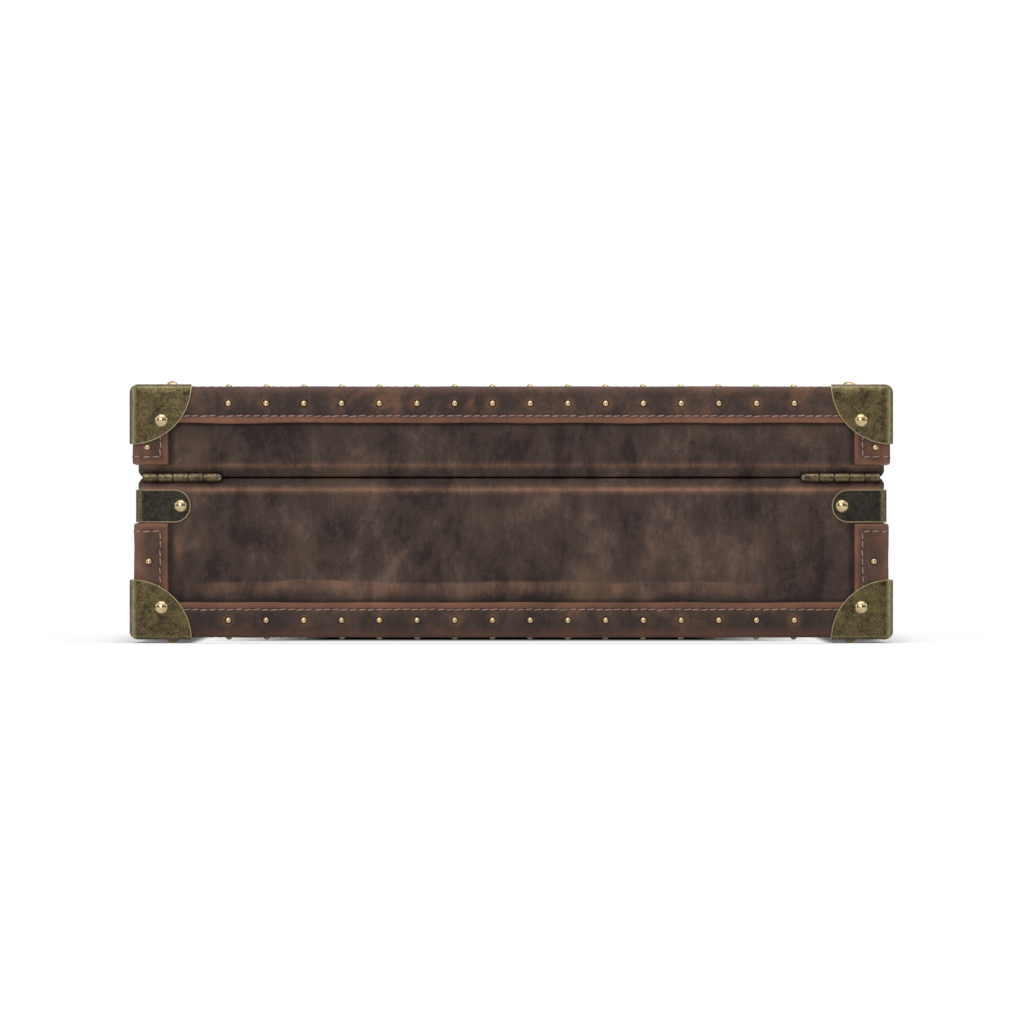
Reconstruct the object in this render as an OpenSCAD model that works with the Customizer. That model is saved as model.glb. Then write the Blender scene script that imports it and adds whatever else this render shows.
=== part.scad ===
/* [Case] */
// Overall width, over the corner brackets
case_w = 381; // [340:1:440]
// Overall depth, over the corner brackets
case_d = 254; // [246:1:290]
// Height from the lower brackets' undersides to the upper brackets' tops
case_h = 127.3; // [122:0.1:150]
// Height of the base, from the lower brackets' undersides to the parting plane
base_h = 80.8; // [78:0.1:90]
// Gap between the two rims when the lid is shut
rim_gap = 0.6; // [0.4:0.1:1]
// Depth that the rims are bevelled back to at the rear and the front
bevel_d = 3; // [2.6:0.1:3.4]
// Height of the rims' bevel at the rear and the front
bevel_h = 5.6; // [4.5:0.1:6.5]
// Depth that the rims are bevelled back to at the case's ends
end_bevel_d = 1.6; // [1.3:0.1:2.4]
// Height of the rims' bevel at the case's ends
end_bevel_h = 2.6; // [2:0.1:4]

/* [Box walls] */
// Thickness of the wooden side walls
wood_wall = 8; // [7:0.5:10]
// Thickness of the wooden top and bottom boards
wood_board = 6; // [4:0.5:8]
// Thickness of the leather cover
cover_t = 1.3; // [1:0.1:1.6]
// Thickness of the fabric lining
lining_t = 1; // [0.6:0.1:1.4]
// Thickness of the lid's padded lining board
lid_pad_t = 6; // [4:0.5:8]
// Radius of the covered boxes' upright corners
corner_r = 5; // [4:0.5:6]

/* [Leather binding] */
// Width of the lid's binding and corner strips on each face
lid_band_w = 18.3; // [16:0.1:20]
// Width of the base's binding and corner strips on each face
base_band_w = 17.5; // [16:0.1:20]
// How far the lid's binding stands out from its cover
lid_band_t = 2.9; // [2.2:0.1:3.2]
// How far the base's binding stands out from its cover
base_band_t = 2.2; // [1.6:0.1:2.6]
// How far the bindings stand out above the top and below the bottom cover
flat_band_t = 2.4; // [1.8:0.1:2.8]
// Height of the lid's corner strips, from the top binding down
lid_strip_l = 21; // [18:0.5:21]
// Height of the base's corner strips, from the bottom binding up
base_strip_l = 39.5; // [34:0.5:39.5]

/* [Nails and rivets] */
// Radius of a nail's domed head
nail_r = 1.65; // [1.3:0.05:2]
// Height of a nail's domed head
nail_dome = 1.25; // [0.6:0.05:1.5]
// Radius of a nail's shank
nail_shank_r = 0.6; // [0.4:0.05:0.8]
// Distance between the nails of a row
nail_pitch = 18.8; // [16:0.1:24]
// Distance of a row of nails from its binding's outer edge
nail_in = 8.6; // [7:0.1:10]
// Distance of a row's first nail from the case's ends, at least
nail_end = 48; // [46:1:60]
// Distance of a corner strip's nail from the strip's upright outer edge
strip_nail_in = 7.8; // [6:0.1:9]
// Height of the nails above the ends of the lid's corner strips
lid_strip_nail = 8.9; // [7:0.1:9]
// Distance of the nails below the ends of the base's corner strips
base_strip_nail = 19.1; // [8:0.1:19.2]
// Radius of a rivet's domed head
rivet_r = 3.35; // [2.8:0.05:3.8]
// Height of a rivet's domed head
rivet_dome = 1.8; // [1.4:0.1:2.2]
// Radius of a rivet's shank
rivet_shank_r = 1.2; // [0.9:0.1:1.5]
// Length of a rivet's shank behind its head
rivet_shank_l = 7; // [6:0.5:9]

/* [Corner brackets] */
// Radius of the brackets' quarter-round flaps
bracket_r = 30; // [28:0.5:31]
// How far the brackets stand out from the lid's binding
bracket_wall = 1.4; // [1.2:0.1:1.8]
// How far the brackets stand out from the binding above and below
bracket_flat_wall = 1.05; // [0.9:0.05:1.4]
// Distance of the rivets from the case's upright edges
rivet_in = 16.2; // [14:0.1:18]
// Distance of the lid's rear and front rivets from its top
lid_rivet_down = 18.1; // [15:0.1:19]
// Distance of the base's rear and front rivets from its bottom
base_rivet_up = 16.1; // [14:0.1:18]
// Distance of the top and bottom rivets from the case's ends
flat_rivet_in = 21.2; // [18:0.1:22]

/* [Edge clamps] */
// Length of a clamp on each side of its corner
clamp_l = 27.6; // [25:0.1:30]
// Height of a clamp
clamp_h = 16.4; // [14:0.1:18]
// Thickness of a clamp
clamp_t = 1.2; // [1:0.1:1.5]
// Distance of a clamp's rivet from its corner
clamp_rivet_in = 22.5; // [20:0.1:23]
// Distance from the parting plane down to a clamp
clamp_down = 6; // [6:0.1:7]

/* [Hinges] */
// Radius of the hinge barrels
barrel_r = 2.2; // [2:0.05:2.4]
// Radius of the hinge pins
hinge_pin_r = 1; // [0.8:0.05:1.2]
// Radial running clearance round a hinge pin
hinge_fit = 0.05; // [0.02:0.01:0.08]
// Length of one hinge knuckle
knuckle_l = 7.3; // [6.5:0.1:8]
// Gap between neighbouring knuckles
knuckle_gap = 0.3; // [0.2:0.05:0.4]
// Thickness of the hinge leaves
leaf_t = 1; // [0.8:0.1:1.2]
// Depth of a hinge leaf across the rim
leaf_d = 8; // [7.5:0.1:8.3]
// Distance of the hinge axis inside the covered rear face
axis_in = 0.5; // [0.3:0.1:0.7]
// Distance from the covered end of the case to a hinge's middle
hinge_in = 21.3; // [21.2:0.1:60]

/* [Latches] */
// Distance from the middle of the case to a latch
latch_x = 108; // [90:1:130]
// Width of a lock case
lock_w = 44; // [40:1:50]
// Height of a lock case
lock_h = 22; // [20:1:26]
// Thickness of a lock case over its cover
lock_d = 7; // [6.5:0.5:8]
// Width of a keeper's tongue
tongue_w = 10; // [8:0.5:12]
// Thickness of a keeper's tongue
tongue_t = 2.4; // [2:0.1:2.8]
// How far a tongue reaches below the parting plane
tongue_l = 16; // [15:0.5:17]
// Clearance all round a tongue in its slot
tongue_gap = 0.6; // [0.5:0.05:0.7]
// Travel of a bolt
bolt_travel = 6; // [5:0.5:7]
// Depth that a shot bolt reaches into its tongue
bolt_bite = 3.5; // [3:0.1:4]

/* [Handle] */
// Distance between the handle's two mounts
handle_w = 118; // [100:1:150]
// Distance from the pivots to the middle of the grip
handle_drop = 28; // [26:1:29]
// Height of the pivots above the lower brackets' undersides
handle_z = 58; // [57:1:62]
// Distance of the pivots in front of the cover
handle_out = 9.5; // [9:0.5:12]
// Radius of the leather grip at its middle
grip_r = 8.5; // [7:0.5:9]
// Radius of the metal bail
bail_r = 2.8; // [2:0.1:3.2]
// Radius of the handle's pivot pins
pivot_r = 1.5; // [1.2:0.1:1.8]
// Radial running clearance round a pivot pin
pivot_fit = 0.08; // [0.04:0.01:0.1]

/* [Interior] */
// Number of watch compartments along the case
columns = 6; // [4:1:6]
// Length of a watch compartment across the case
cell_l = 88; // [80:1:90]
// Height of the dividers
divider_h = 60; // [50:1:64]
// Thickness of the dividers
divider_t = 3; // [2:0.5:4]
// Height of a watch cushion
cushion_h = 54; // [44:1:58]
// Clearance between a cushion and its compartment's walls
cushion_gap = 2.4; // [1:0.1:3]

/* [Hidden] */
$fn = 48;
sides = [-1, 1];
foot_h = rivet_dome;
parting_z = foot_h + base_h;
bottom_z = foot_h + bracket_flat_wall + flat_band_t;
top_z = foot_h + case_h - bracket_flat_wall - flat_band_t;
rim_low = parting_z - rim_gap / 2;
rim_high = parting_z + rim_gap / 2;
// Half sizes of the covered body, the wood under the cover, the hollow in the wood and the lined room
body_x = case_w / 2 - bracket_wall - lid_band_t;
body_y = case_d / 2 - bracket_wall - lid_band_t;
wood_x = body_x - cover_t;
wood_y = body_y - cover_t;
cavity_x = wood_x - wood_wall;
cavity_y = wood_y - wood_wall;
room_x = cavity_x - lining_t;
room_y = cavity_y - lining_t;
floor_z = bottom_z + cover_t + wood_board;
ceiling_z = top_z - cover_t - wood_board;
room_z = floor_z + lining_t;
lining_down = 0.5;
// The handle reaches further in front than the rivets do behind, so the case sits back by half the difference
case_y = (body_y + handle_out + grip_r - case_d / 2 - rivet_dome) / 2;
// Edge radii of the cover, the wood, the binding, the brackets, the hollow and the room
edge_r = 3;
wood_edge_r = 2;
band_edge_r = 4;
bracket_edge_r = 4.7;
bracket_upright_r = 7;
cavity_r = 3;
room_r = 2;
// Levels of the bindings' inner edges and the corner strips' ends
lid_band_z = top_z + flat_band_t - lid_band_w;
base_band_z = bottom_z - flat_band_t + base_band_w;
strip_low = lid_band_z - lid_strip_l;
strip_high = base_band_z + base_strip_l;
nails_x = floor((case_w - 2 * nail_end) / nail_pitch) + 1;
nails_y = floor((case_d - 2 * nail_end) / nail_pitch) + 1;
// How much of the crown is worn off the rivets that the case stands on
stand_flat = 0.25;
bracket_centre = 1.3;
// Hinges
hinge_x = body_x - hinge_in;
hinge_y = body_y - axis_in;
hinge_l = 5 * knuckle_l + 4 * knuckle_gap;
mortise_gap = 0.3;
pin_head_r = 2;
screw_pitch = 12.5;
screw_in = (leaf_d - bevel_d + axis_in) / 2;
screw_head_r = 1.5;
screw_head_t = 0.6;
screw_r = 0.8;
screw_l = 8;
// Latches
lock_top = parting_z - bevel_h - 1;
lock_z = lock_top - lock_h;
lock_corner_r = 2;
tongue_y = -body_y - lock_d / 2;
tongue_drop = lock_top - parting_z + tongue_l + tongue_gap;
bolt_gap = 0.3;
bolt_h = 4;
notch_h = bolt_h + 2 * bolt_gap;
bolt_z = parting_z - tongue_l + 3 + notch_h / 2;
bolt_rest = tongue_w / 2 + bolt_travel - bolt_bite;
bolt_l = 10;
knob_x = bolt_rest + bolt_l / 2 + 0.5;
knob_w = 3;
knob_r = 3.4;
knob_t = 2.4;
knob_reach = lock_d / 2 + bolt_gap;
keeper_z = parting_z + bevel_h + 0.8;
keeper_w = 24;
keeper_h = 14;
keeper_t = 1.4;
keeper_step_h = 6;
// Small rivets, and how far their shanks go past the piece that they hold
small_rivet_r = 2.2;
small_rivet_dome = 1.2;
small_shank_r = 0.9;
small_grip = 6;
lock_rivet_x = lock_w / 2 - 6;
lock_rivet_z = 6;
keeper_rivet_x = 8.5;
keeper_rivet_z = 9.5;
mount_rivet_x = 8.9;
// Handle
pivot_z = foot_h + handle_z;
plate_t = 1.5;
plate_w = 24;
plate_h = 20;
ear_t = 2.2;
ear_gap = 0.3;
eye_w = 6;
eye_r = 4.2;
ear_x = eye_w / 2 + ear_gap + ear_t / 2;
bend_r = 9;
grip_l = handle_w - 2 * bend_r - 12;
grip_slim = 2;
// Interior
cell_w = (2 * room_x - (columns - 1) * divider_t) / columns;
cushion_w = cell_w - 2 * cushion_gap;
cushion_l = cell_l - 2 * cushion_gap;
soft_gap = 0.3;
cushion_sides = 20;
cushion_draw = 0.1;
section_power = 0.77;

leather = "#5b3a2c";
strip_leather = "#6e3b26";
brass = "#8f7a45";
bright = "#b99a58";
steel = "#3c3a33";
suede = "#b9a27c";
timber = "#c39a6b";

// Sets a piece back by the distance that keeps the case and its handle centred
module seat() {
    translate([0, case_y, 0])
        children();
}

// A block from z0 to z1 with half sizes hx and hy and round upright corners
module block(hx, hy, z0, z1, r) {
    translate([0, 0, z0])
        linear_extrude(z1 - z0)
            rounded(hx, hy, r);
}

// A rectangle with half sizes hx and hy and round corners
module rounded(hx, hy, r) {
    square([2 * hx, 2 * (hy - r)], center = true);
    square([2 * (hx - r), 2 * hy], center = true);
    for (x = sides, y = sides)
        translate([x * (hx - r), y * (hy - r)])
            circle(r);
}

// One half of the case in section: half width h, closed edge at 0 rounded by r, rim at depth bevelled by d and up
module half_section(h, depth, d, up, r) {
    polygon([
        [-h, r], [-h + r, r], [-h + r, 0], [h - r, 0], [h - r, r], [h, r],
        [h, depth - up], [h - d, depth], [-h + d, depth], [-h, depth - up]
    ]);
    for (x = sides)
        translate([x * (h - r), r])
            circle(r);
}

// The outer form of one half of the case, rounded at its closed edges and bevelled at its rim
module half_form(hx, hy, z_far, z_rim, r, upright_r) {
    depth = abs(z_rim - z_far);
    translate([0, 0, z_far])
        mirror([0, 0, z_rim < z_far ? 1 : 0])
            intersection() {
                translate([0, hy + 1, 0])
                    rotate([90, 0, 0])
                        linear_extrude(2 * hy + 2)
                            half_section(hx, depth, end_bevel_d, end_bevel_h, r);
                translate([-hx - 1, 0, 0])
                    rotate([90, 0, 90])
                        linear_extrude(2 * hx + 2)
                            half_section(hy, depth, bevel_d, bevel_h, r);
                block(hx, hy, 0, depth, upright_r);
            }
}

// Stands a child made along +Z at a place on the rear or front face, the ends, the top or the bottom
module face_out(at, face) {
    turn = face == "rear" ? [-90, 0, 0] : face == "front" ? [90, 0, 0]
        : face == "right" ? [0, 90, 0] : face == "left" ? [0, -90, 0]
        : face == "bottom" ? [180, 0, 0] : [0, 0, 0];
    translate(at)
        rotate(turn)
            children();
}

// A domed head with a shank behind it, standing on z = 0
module stud(r, dome, shank_r, shank_l) {
    ball = (r * r + dome * dome) / (2 * dome);
    rotate_extrude() {
        intersection() {
            translate([0, dome - ball])
                circle(ball, $fn = 96);
            square([r, dome]);
        }
        translate([0, -shank_l])
            square([shank_r, shank_l + dome / 2]);
    }
}

module rivet() {
    stud(rivet_r, rivet_dome, rivet_shank_r, rivet_shank_l);
}

module nail(shank_l) {
    stud(nail_r, nail_dome, nail_shank_r, shank_l);
}

// The places of one half's bracket rivets, on the rear and front faces or on the closed face
module bracket_rivet_places(lid, faces) {
    edge_z = lid ? foot_h + case_h : foot_h;
    side_z = lid ? edge_z - lid_rivet_down : edge_z + base_rivet_up;
    for (x = sides, y = sides)
        if (faces == "sides")
            face_out([x * (case_w / 2 - rivet_in), y * case_d / 2, side_z], y > 0 ? "rear" : "front")
                children();
        else
            face_out([x * (case_w / 2 - flat_rivet_in), y * (case_d / 2 - rivet_in), edge_z],
                lid ? "top" : "bottom")
                children();
}

// The holes of one half's bracket rivets
module bracket_rivet_holes(lid) {
    for (faces = ["sides", "flat"])
        bracket_rivet_places(lid, faces)
            translate([0, 0, -rivet_shank_l])
                cylinder(h = rivet_shank_l + 1, r = rivet_shank_r);
}

// The covered base and the covered lid as plain forms, grown by t at the sides and u at the closed face
module base_form(t, u, r) {
    half_form(body_x + t, body_y + t, bottom_z - u, rim_low, r, corner_r + max(t, 0));
}

module lid_form(t, u, r) {
    half_form(body_x + t, body_y + t, top_z + u, rim_high, r, corner_r + max(t, 0));
}

// The wooden block inside a cover, before it is hollowed out
module base_block() {
    half_form(wood_x, wood_y, bottom_z + cover_t, rim_low - cover_t, wood_edge_r, corner_r - cover_t);
}

module lid_block() {
    half_form(wood_x, wood_y, top_z - cover_t, rim_high + cover_t, wood_edge_r, corner_r - cover_t);
}

module base_hollow() {
    block(cavity_x, cavity_y, floor_z, parting_z, cavity_r);
}

module lid_hollow() {
    block(cavity_x, cavity_y, parting_z, ceiling_z, cavity_r);
}

module base_shell() {
    seat()
        color(timber)
            difference() {
                base_block();
                base_hollow();
                bracket_rivet_holes(false);
                clamp_rivet_places()
                    rivet_hole();
                hinge_screw_places(false)
                    screw_hole();
                lock_rivet_places()
                    small_rivet_hole(lock_d);
                handle_rivet_places()
                    small_rivet_hole(plate_t);
            }
}

module base_cover() {
    seat()
        color(leather)
            difference() {
                base_form(0, 0, edge_r);
                base_block();
                base_hollow();
                bracket_rivet_holes(false);
                clamp_rivet_places()
                    rivet_hole();
                hinge_mortises(false);
                hinge_screw_places(false)
                    screw_hole();
                lock_rivet_places()
                    small_rivet_hole(lock_d);
                handle_rivet_places()
                    small_rivet_hole(plate_t);
            }
}

module lid_shell() {
    seat()
        color(timber)
            difference() {
                lid_block();
                lid_hollow();
                bracket_rivet_holes(true);
                hinge_screw_places(true)
                    screw_hole();
                keeper_rivet_places()
                    small_rivet_hole(keeper_t);
            }
}

module lid_cover() {
    seat()
        color(leather)
            difference() {
                lid_form(0, 0, edge_r);
                lid_block();
                lid_hollow();
                bracket_rivet_holes(true);
                hinge_mortises(true);
                hinge_screw_places(true)
                    screw_hole();
                keeper_rivet_places()
                    small_rivet_hole(keeper_t);
            }
}

// The places of one half's nails, in rows along the binding and one on each corner strip
module nail_places(lid) {
    t = lid ? lid_band_t : base_band_t;
    edge_z = lid ? top_z + flat_band_t : bottom_z - flat_band_t;
    row_z = lid ? edge_z - nail_in : edge_z + nail_in;
    strip_z = lid ? strip_low + lid_strip_nail : strip_high - base_strip_nail;
    for (y = sides, i = [0:nails_x - 1]) {
        x = (i - (nails_x - 1) / 2) * nail_pitch;
        face_out([x, y * (body_y + t), row_z], y > 0 ? "rear" : "front")
            children(0);
        face_out([x, y * (body_y + t - nail_in), edge_z], lid ? "top" : "bottom")
            children(1);
    }
    for (x = sides, i = [0:nails_y - 1]) {
        y = (i - (nails_y - 1) / 2) * nail_pitch;
        face_out([x * (body_x + t), y, row_z], x > 0 ? "right" : "left")
            children(0);
        face_out([x * (body_x + t - nail_in), y, edge_z], lid ? "top" : "bottom")
            children(1);
    }
    for (x = sides, y = sides)
        face_out([x * (body_x + t - strip_nail_in), y * (body_y + t), strip_z], y > 0 ? "rear" : "front")
            children(0);
}

// A nail's hole through a binding that is t thick
module nail_hole(t) {
    translate([0, 0, -t - 0.5])
        cylinder(h = t + 1, r = nail_shank_r);
}

module base_nails() {
    seat()
        color(bright)
            nail_places(false) {
                nail(base_band_t);
                nail(flat_band_t);
            }
}

module lid_nails() {
    seat()
        color(bright)
            nail_places(true) {
                nail(lid_band_t);
                nail(flat_band_t);
            }
}

module base_binding() {
    seat()
        color(strip_leather)
            difference() {
                intersection() {
                    base_form(base_band_t, flat_band_t, band_edge_r);
                    block(case_w, case_d, 0, base_band_z, corner_r);
                }
                base_form(0, 0, edge_r);
                block(body_x + base_band_t - base_band_w, body_y + base_band_t - base_band_w, 0, base_band_z, corner_r);
                bracket_rivet_holes(false);
                nail_places(false) {
                    nail_hole(base_band_t);
                    nail_hole(flat_band_t);
                }
            }
}

module lid_binding() {
    seat()
        color(strip_leather)
            difference() {
                intersection() {
                    lid_form(lid_band_t, flat_band_t, band_edge_r);
                    block(case_w, case_d, lid_band_z, top_z + 10, corner_r);
                }
                lid_form(0, 0, edge_r);
                block(body_x + lid_band_t - lid_band_w, body_y + lid_band_t - lid_band_w, lid_band_z, top_z + 10,
                    corner_r);
                bracket_rivet_holes(true);
                nail_places(true) {
                    nail_hole(lid_band_t);
                    nail_hole(flat_band_t);
                }
            }
}

// Keeps what lies within w of the upright corners of a form with half sizes hx and hy
module corner_columns(hx, hy, w, z0, z1) {
    for (x = sides, y = sides)
        translate([x * (hx - w / 2), y * (hy - w / 2), (z0 + z1) / 2])
            cube([w, w, z1 - z0], center = true);
}

module base_corner_strips() {
    seat()
        color(strip_leather)
            difference() {
                intersection() {
                    block(body_x + base_band_t, body_y + base_band_t, base_band_z, strip_high, corner_r + base_band_t);
                    corner_columns(body_x + base_band_t, body_y + base_band_t, base_band_w, base_band_z, strip_high);
                }
                block(body_x, body_y, base_band_z - 1, strip_high + 1, corner_r);
                bracket_rivet_holes(false);
                nail_places(false) {
                    nail_hole(base_band_t);
                    nail_hole(flat_band_t);
                }
            }
}

module lid_corner_strips() {
    seat()
        color(strip_leather)
            difference() {
                intersection() {
                    block(body_x + lid_band_t, body_y + lid_band_t, strip_low, lid_band_z, corner_r + lid_band_t);
                    corner_columns(body_x + lid_band_t, body_y + lid_band_t, lid_band_w, strip_low, lid_band_z);
                }
                block(body_x, body_y, strip_low - 1, lid_band_z + 1, corner_r);
                bracket_rivet_holes(true);
                nail_places(true) {
                    nail_hole(lid_band_t);
                    nail_hole(flat_band_t);
                }
            }
}

// A bracket at corner x, y of the lid or the base: three quarter-round flaps with a rounded edge
module bracket(lid, x, y) {
    edge_z = lid ? foot_h + case_h : foot_h;
    seat()
        color(brass)
            difference() {
                intersection() {
                    half_form(case_w / 2, case_d / 2, edge_z, parting_z, bracket_edge_r, bracket_upright_r);
                    translate([x * (case_w / 2 - bracket_centre), y * (case_d / 2 - bracket_centre), edge_z])
                        sphere(bracket_r, $fn = 128);
                }
                if (lid)
                    lid_form(lid_band_t, flat_band_t, band_edge_r);
                else
                    base_form(base_band_t, flat_band_t, band_edge_r);
                bracket_rivet_holes(lid);
            }
}

module base_bracket_rivets() {
    seat()
        color(bright)
            bracket_rivet_places(false, "sides")
                rivet();
}

// The rivets that the case stands on have worn flat at their crowns
module standing_rivets() {
    seat()
        color(bright)
            bracket_rivet_places(false, "flat")
                intersection() {
                    stud(rivet_r, rivet_dome + stand_flat, rivet_shank_r, rivet_shank_l);
                    translate([0, 0, -rivet_shank_l])
                        cylinder(h = rivet_shank_l + rivet_dome, r = rivet_r + 1);
                }
}

module lid_bracket_rivets() {
    seat()
        color(bright) {
            bracket_rivet_places(true, "sides")
                rivet();
            bracket_rivet_places(true, "flat")
                rivet();
        }
}

// A clamp's outline on one face, from the corner at the origin towards -X, its end half round
module clamp_outline() {
    translate([-clamp_l + clamp_h / 2, 0])
        square([clamp_l - clamp_h / 2 + 1, clamp_h]);
    translate([-clamp_l + clamp_h / 2, clamp_h / 2])
        circle(clamp_h / 2);
}

module edge_clamps() {
    low = parting_z - clamp_down - clamp_h;
    depth = corner_r + clamp_t;
    seat()
        color(steel)
            for (x = sides, y = sides)
                difference() {
                    intersection() {
                        block(body_x + clamp_t, body_y + clamp_t, low, low + clamp_h, corner_r + clamp_t);
                        mirror([x < 0 ? 1 : 0, 0, 0])
                            mirror([0, y < 0 ? 1 : 0, 0])
                                translate([body_x + clamp_t, body_y + clamp_t, low]) {
                                    translate([0, 1, 0])
                                        rotate([90, 0, 0])
                                            linear_extrude(depth + 1)
                                                clamp_outline();
                                    translate([-depth, 0, 0])
                                        rotate([90, 0, 90])
                                            linear_extrude(depth + 1)
                                                clamp_outline();
                                }
                    }
                    block(body_x, body_y, low - 1, low + clamp_h + 1, corner_r);
                    clamp_rivet_places()
                        rivet_hole();
                }
}

module clamp_rivet_places() {
    z = parting_z - clamp_down - clamp_h / 2;
    for (x = sides, y = sides)
        face_out([x * (body_x + clamp_t - clamp_rivet_in), y * (body_y + clamp_t), z], y > 0 ? "rear" : "front")
            children();
}

module rivet_hole() {
    translate([0, 0, -rivet_shank_l])
        cylinder(h = rivet_shank_l + 1, r = rivet_shank_r);
}

module clamp_rivets() {
    seat()
        color(bright)
            clamp_rivet_places()
                rivet();
}

// The middle of knuckle i of five, counted from the hinge's outer end, for a hinge at side s
function knuckle_x(s, i) = s * (hinge_x + hinge_l / 2 - knuckle_l / 2 - i * (knuckle_l + knuckle_gap));

// A knuckle or a cut round one, with the hinge axis along X
module knuckle(s, i, r, l) {
    translate([knuckle_x(s, i) - l / 2, hinge_y, parting_z])
        rotate([0, 90, 0])
            cylinder(h = l, r = r);
}

// A hinge leaf: even knuckles belong to the base, odd ones to the lid
module hinge_leaf(s, lid) {
    mine = lid ? [1, 3] : [0, 2, 4];
    others = lid ? [0, 2, 4] : [1, 3];
    low = lid ? rim_high : rim_low - leaf_t;
    seat()
        color(brass)
            difference() {
                union() {
                    for (i = mine)
                        knuckle(s, i, barrel_r, knuckle_l);
                    translate([s * hinge_x - hinge_l / 2, hinge_y - leaf_d, low])
                        cube([hinge_l, leaf_d, leaf_t]);
                }
                for (i = others)
                    translate([knuckle_x(s, i) - knuckle_l / 2 - knuckle_gap, hinge_y - barrel_r - knuckle_gap, low - 1])
                        cube([knuckle_l + 2 * knuckle_gap, leaf_d, leaf_t + 2]);
                for (i = mine)
                    knuckle(s, i, lid ? hinge_pin_r + hinge_fit : hinge_pin_r, knuckle_l + 1);
                hinge_screw_places(lid)
                    screw_hole();
            }
}

// The recesses in a cover's rim that take the hinge leaves
module hinge_mortises(lid) {
    for (s = sides)
        translate([s * hinge_x - hinge_l / 2 - mortise_gap, hinge_y - leaf_d - mortise_gap,
            lid ? rim_high - 1 : rim_low - leaf_t])
            cube([hinge_l + 2 * mortise_gap, leaf_d + mortise_gap, leaf_t + 1]);
}

// The places of one half's hinge screws, their heads level with the leaves
module hinge_screw_places(lid) {
    for (s = sides, i = [-1:1])
        face_out([s * hinge_x + i * screw_pitch, hinge_y - leaf_d + screw_in, lid ? rim_high : rim_low],
            lid ? "bottom" : "top")
            children();
}

module screw_hole() {
    translate([0, 0, -screw_head_t])
        cylinder(h = screw_head_t + 1, r = screw_head_r);
    translate([0, 0, -screw_l])
        cylinder(h = screw_l, r = screw_r);
}

module hinge_screws(lid) {
    seat()
        color(brass)
            hinge_screw_places(lid) {
                translate([0, 0, -screw_head_t])
                    cylinder(h = screw_head_t, r = screw_head_r);
                translate([0, 0, -screw_l])
                    cylinder(h = screw_l - screw_head_t / 2, r = screw_r);
            }
}

// The hinge pins, each with a round end that stands out of the knuckle nearest the middle of the case
module hinge_pins() {
    seat()
        color(brass)
            for (s = sides)
                translate([s * (hinge_x - hinge_l / 2), hinge_y, parting_z])
                    rotate([0, s * 90, 0]) {
                        cylinder(h = hinge_l, r = hinge_pin_r);
                        intersection() {
                            sphere(pin_head_r);
                            translate([0, 0, -pin_head_r])
                                cylinder(h = pin_head_r, r = pin_head_r);
                        }
                    }
}

module base_lining() {
    seat()
        color(suede)
            difference() {
                block(cavity_x, cavity_y, floor_z, rim_low - lining_down, cavity_r);
                block(room_x, room_y, room_z, parting_z, room_r);
            }
}

module lid_lining() {
    seat()
        color(suede)
            difference() {
                block(cavity_x, cavity_y, rim_high + lining_down, ceiling_z, cavity_r);
                block(room_x, room_y, parting_z, ceiling_z + 1, room_r);
            }
}

module lid_lining_board() {
    seat()
        color(suede)
            block(room_x, room_y, ceiling_z - lid_pad_t, ceiling_z, room_r);
}

// The two walls along the case, behind the trough and between the rows of compartments
module row_dividers() {
    seat()
        color(suede)
            for (i = [1, 2])
                translate([-room_x, room_y - i * (cell_l + divider_t), room_z])
                    cube([2 * room_x, divider_t, divider_h]);
}

// The walls across the case, between neighbouring compartments
module column_dividers() {
    seat()
        color(suede)
            for (row = [0, 1], i = [1:columns - 1])
                translate([-room_x + i * (cell_w + divider_t) - divider_t, cell_y(row) - cell_l / 2, room_z])
                    cube([divider_t, cell_l, divider_h]);
}

// The middle of a row of compartments, row 0 at the rear
function cell_y(row) = room_y - cell_l / 2 - row * (cell_l + divider_t);

function cell_x(column) = -room_x + cell_w / 2 + column * (cell_w + divider_t);

// One point of a cushion's section, half sizes a across the case and b upwards
function section_point(a, b, angle) = [
    a * sign(cos(angle)) * pow(abs(cos(angle)), section_power),
    b * sign(sin(angle)) * pow(abs(sin(angle)), section_power)
];

// A cushion's ring at place u from -1 to 1 along it: fullest in the middle, drawn in at both ends
function ring(u, fill, dish) = [
    for (i = [0:cushion_sides - 1])
        let (
            crown = fill * (1 - cushion_draw * pow(abs(u), 3)),
            p = section_point(cushion_l / 2, cushion_h / 2, 360 * i / cushion_sides)
        )
        [cushion_w / 2 * (u - sign(u) * dish), p[0] * crown, p[1] * crown]
];

// A watch cushion: a crowned roll along X whose ends dip towards a gathered middle
module cushion(index) {
    row = index <= columns ? 0 : 1;
    column = (index - 1) % columns;
    rings = concat(
        [ring(-1, 0.25, 0.1), ring(-1, 0.65, 0.06), ring(-1, 0.92, 0)],
        [for (k = [-3:3]) ring(k / 3.4, 1, 0)],
        [ring(1, 0.92, 0), ring(1, 0.65, 0.06), ring(1, 0.25, 0.1)]
    );
    n = cushion_sides;
    last = len(rings) - 1;
    points = [for (r = rings, p = r) p];
    walls = [
        for (k = [0:last - 1], i = [0:n - 1], half = [0, 1])
            let (a = k * n + i, b = k * n + (i + 1) % n)
            half == 0 ? [a, a + n, b] : [b, a + n, b + n]
    ];
    near_cap = [for (i = [1:n - 2]) [0, i, i + 1]];
    far_cap = [for (i = [1:n - 2]) [last * n, last * n + i + 1, last * n + i]];
    seat()
        color(suede)
            translate([cell_x(column), cell_y(row), room_z + soft_gap + cushion_h / 2])
                polyhedron(points, concat(walls, near_cap, far_cap));
}

// A small domed rivet, its shank long enough to pass through a piece that is depth thick
module small_rivet(depth) {
    stud(small_rivet_r, small_rivet_dome, small_shank_r, depth + small_grip);
}

module small_rivet_hole(depth) {
    translate([0, 0, -depth - small_grip])
        cylinder(h = depth + small_grip + 1, r = small_shank_r);
}

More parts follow.
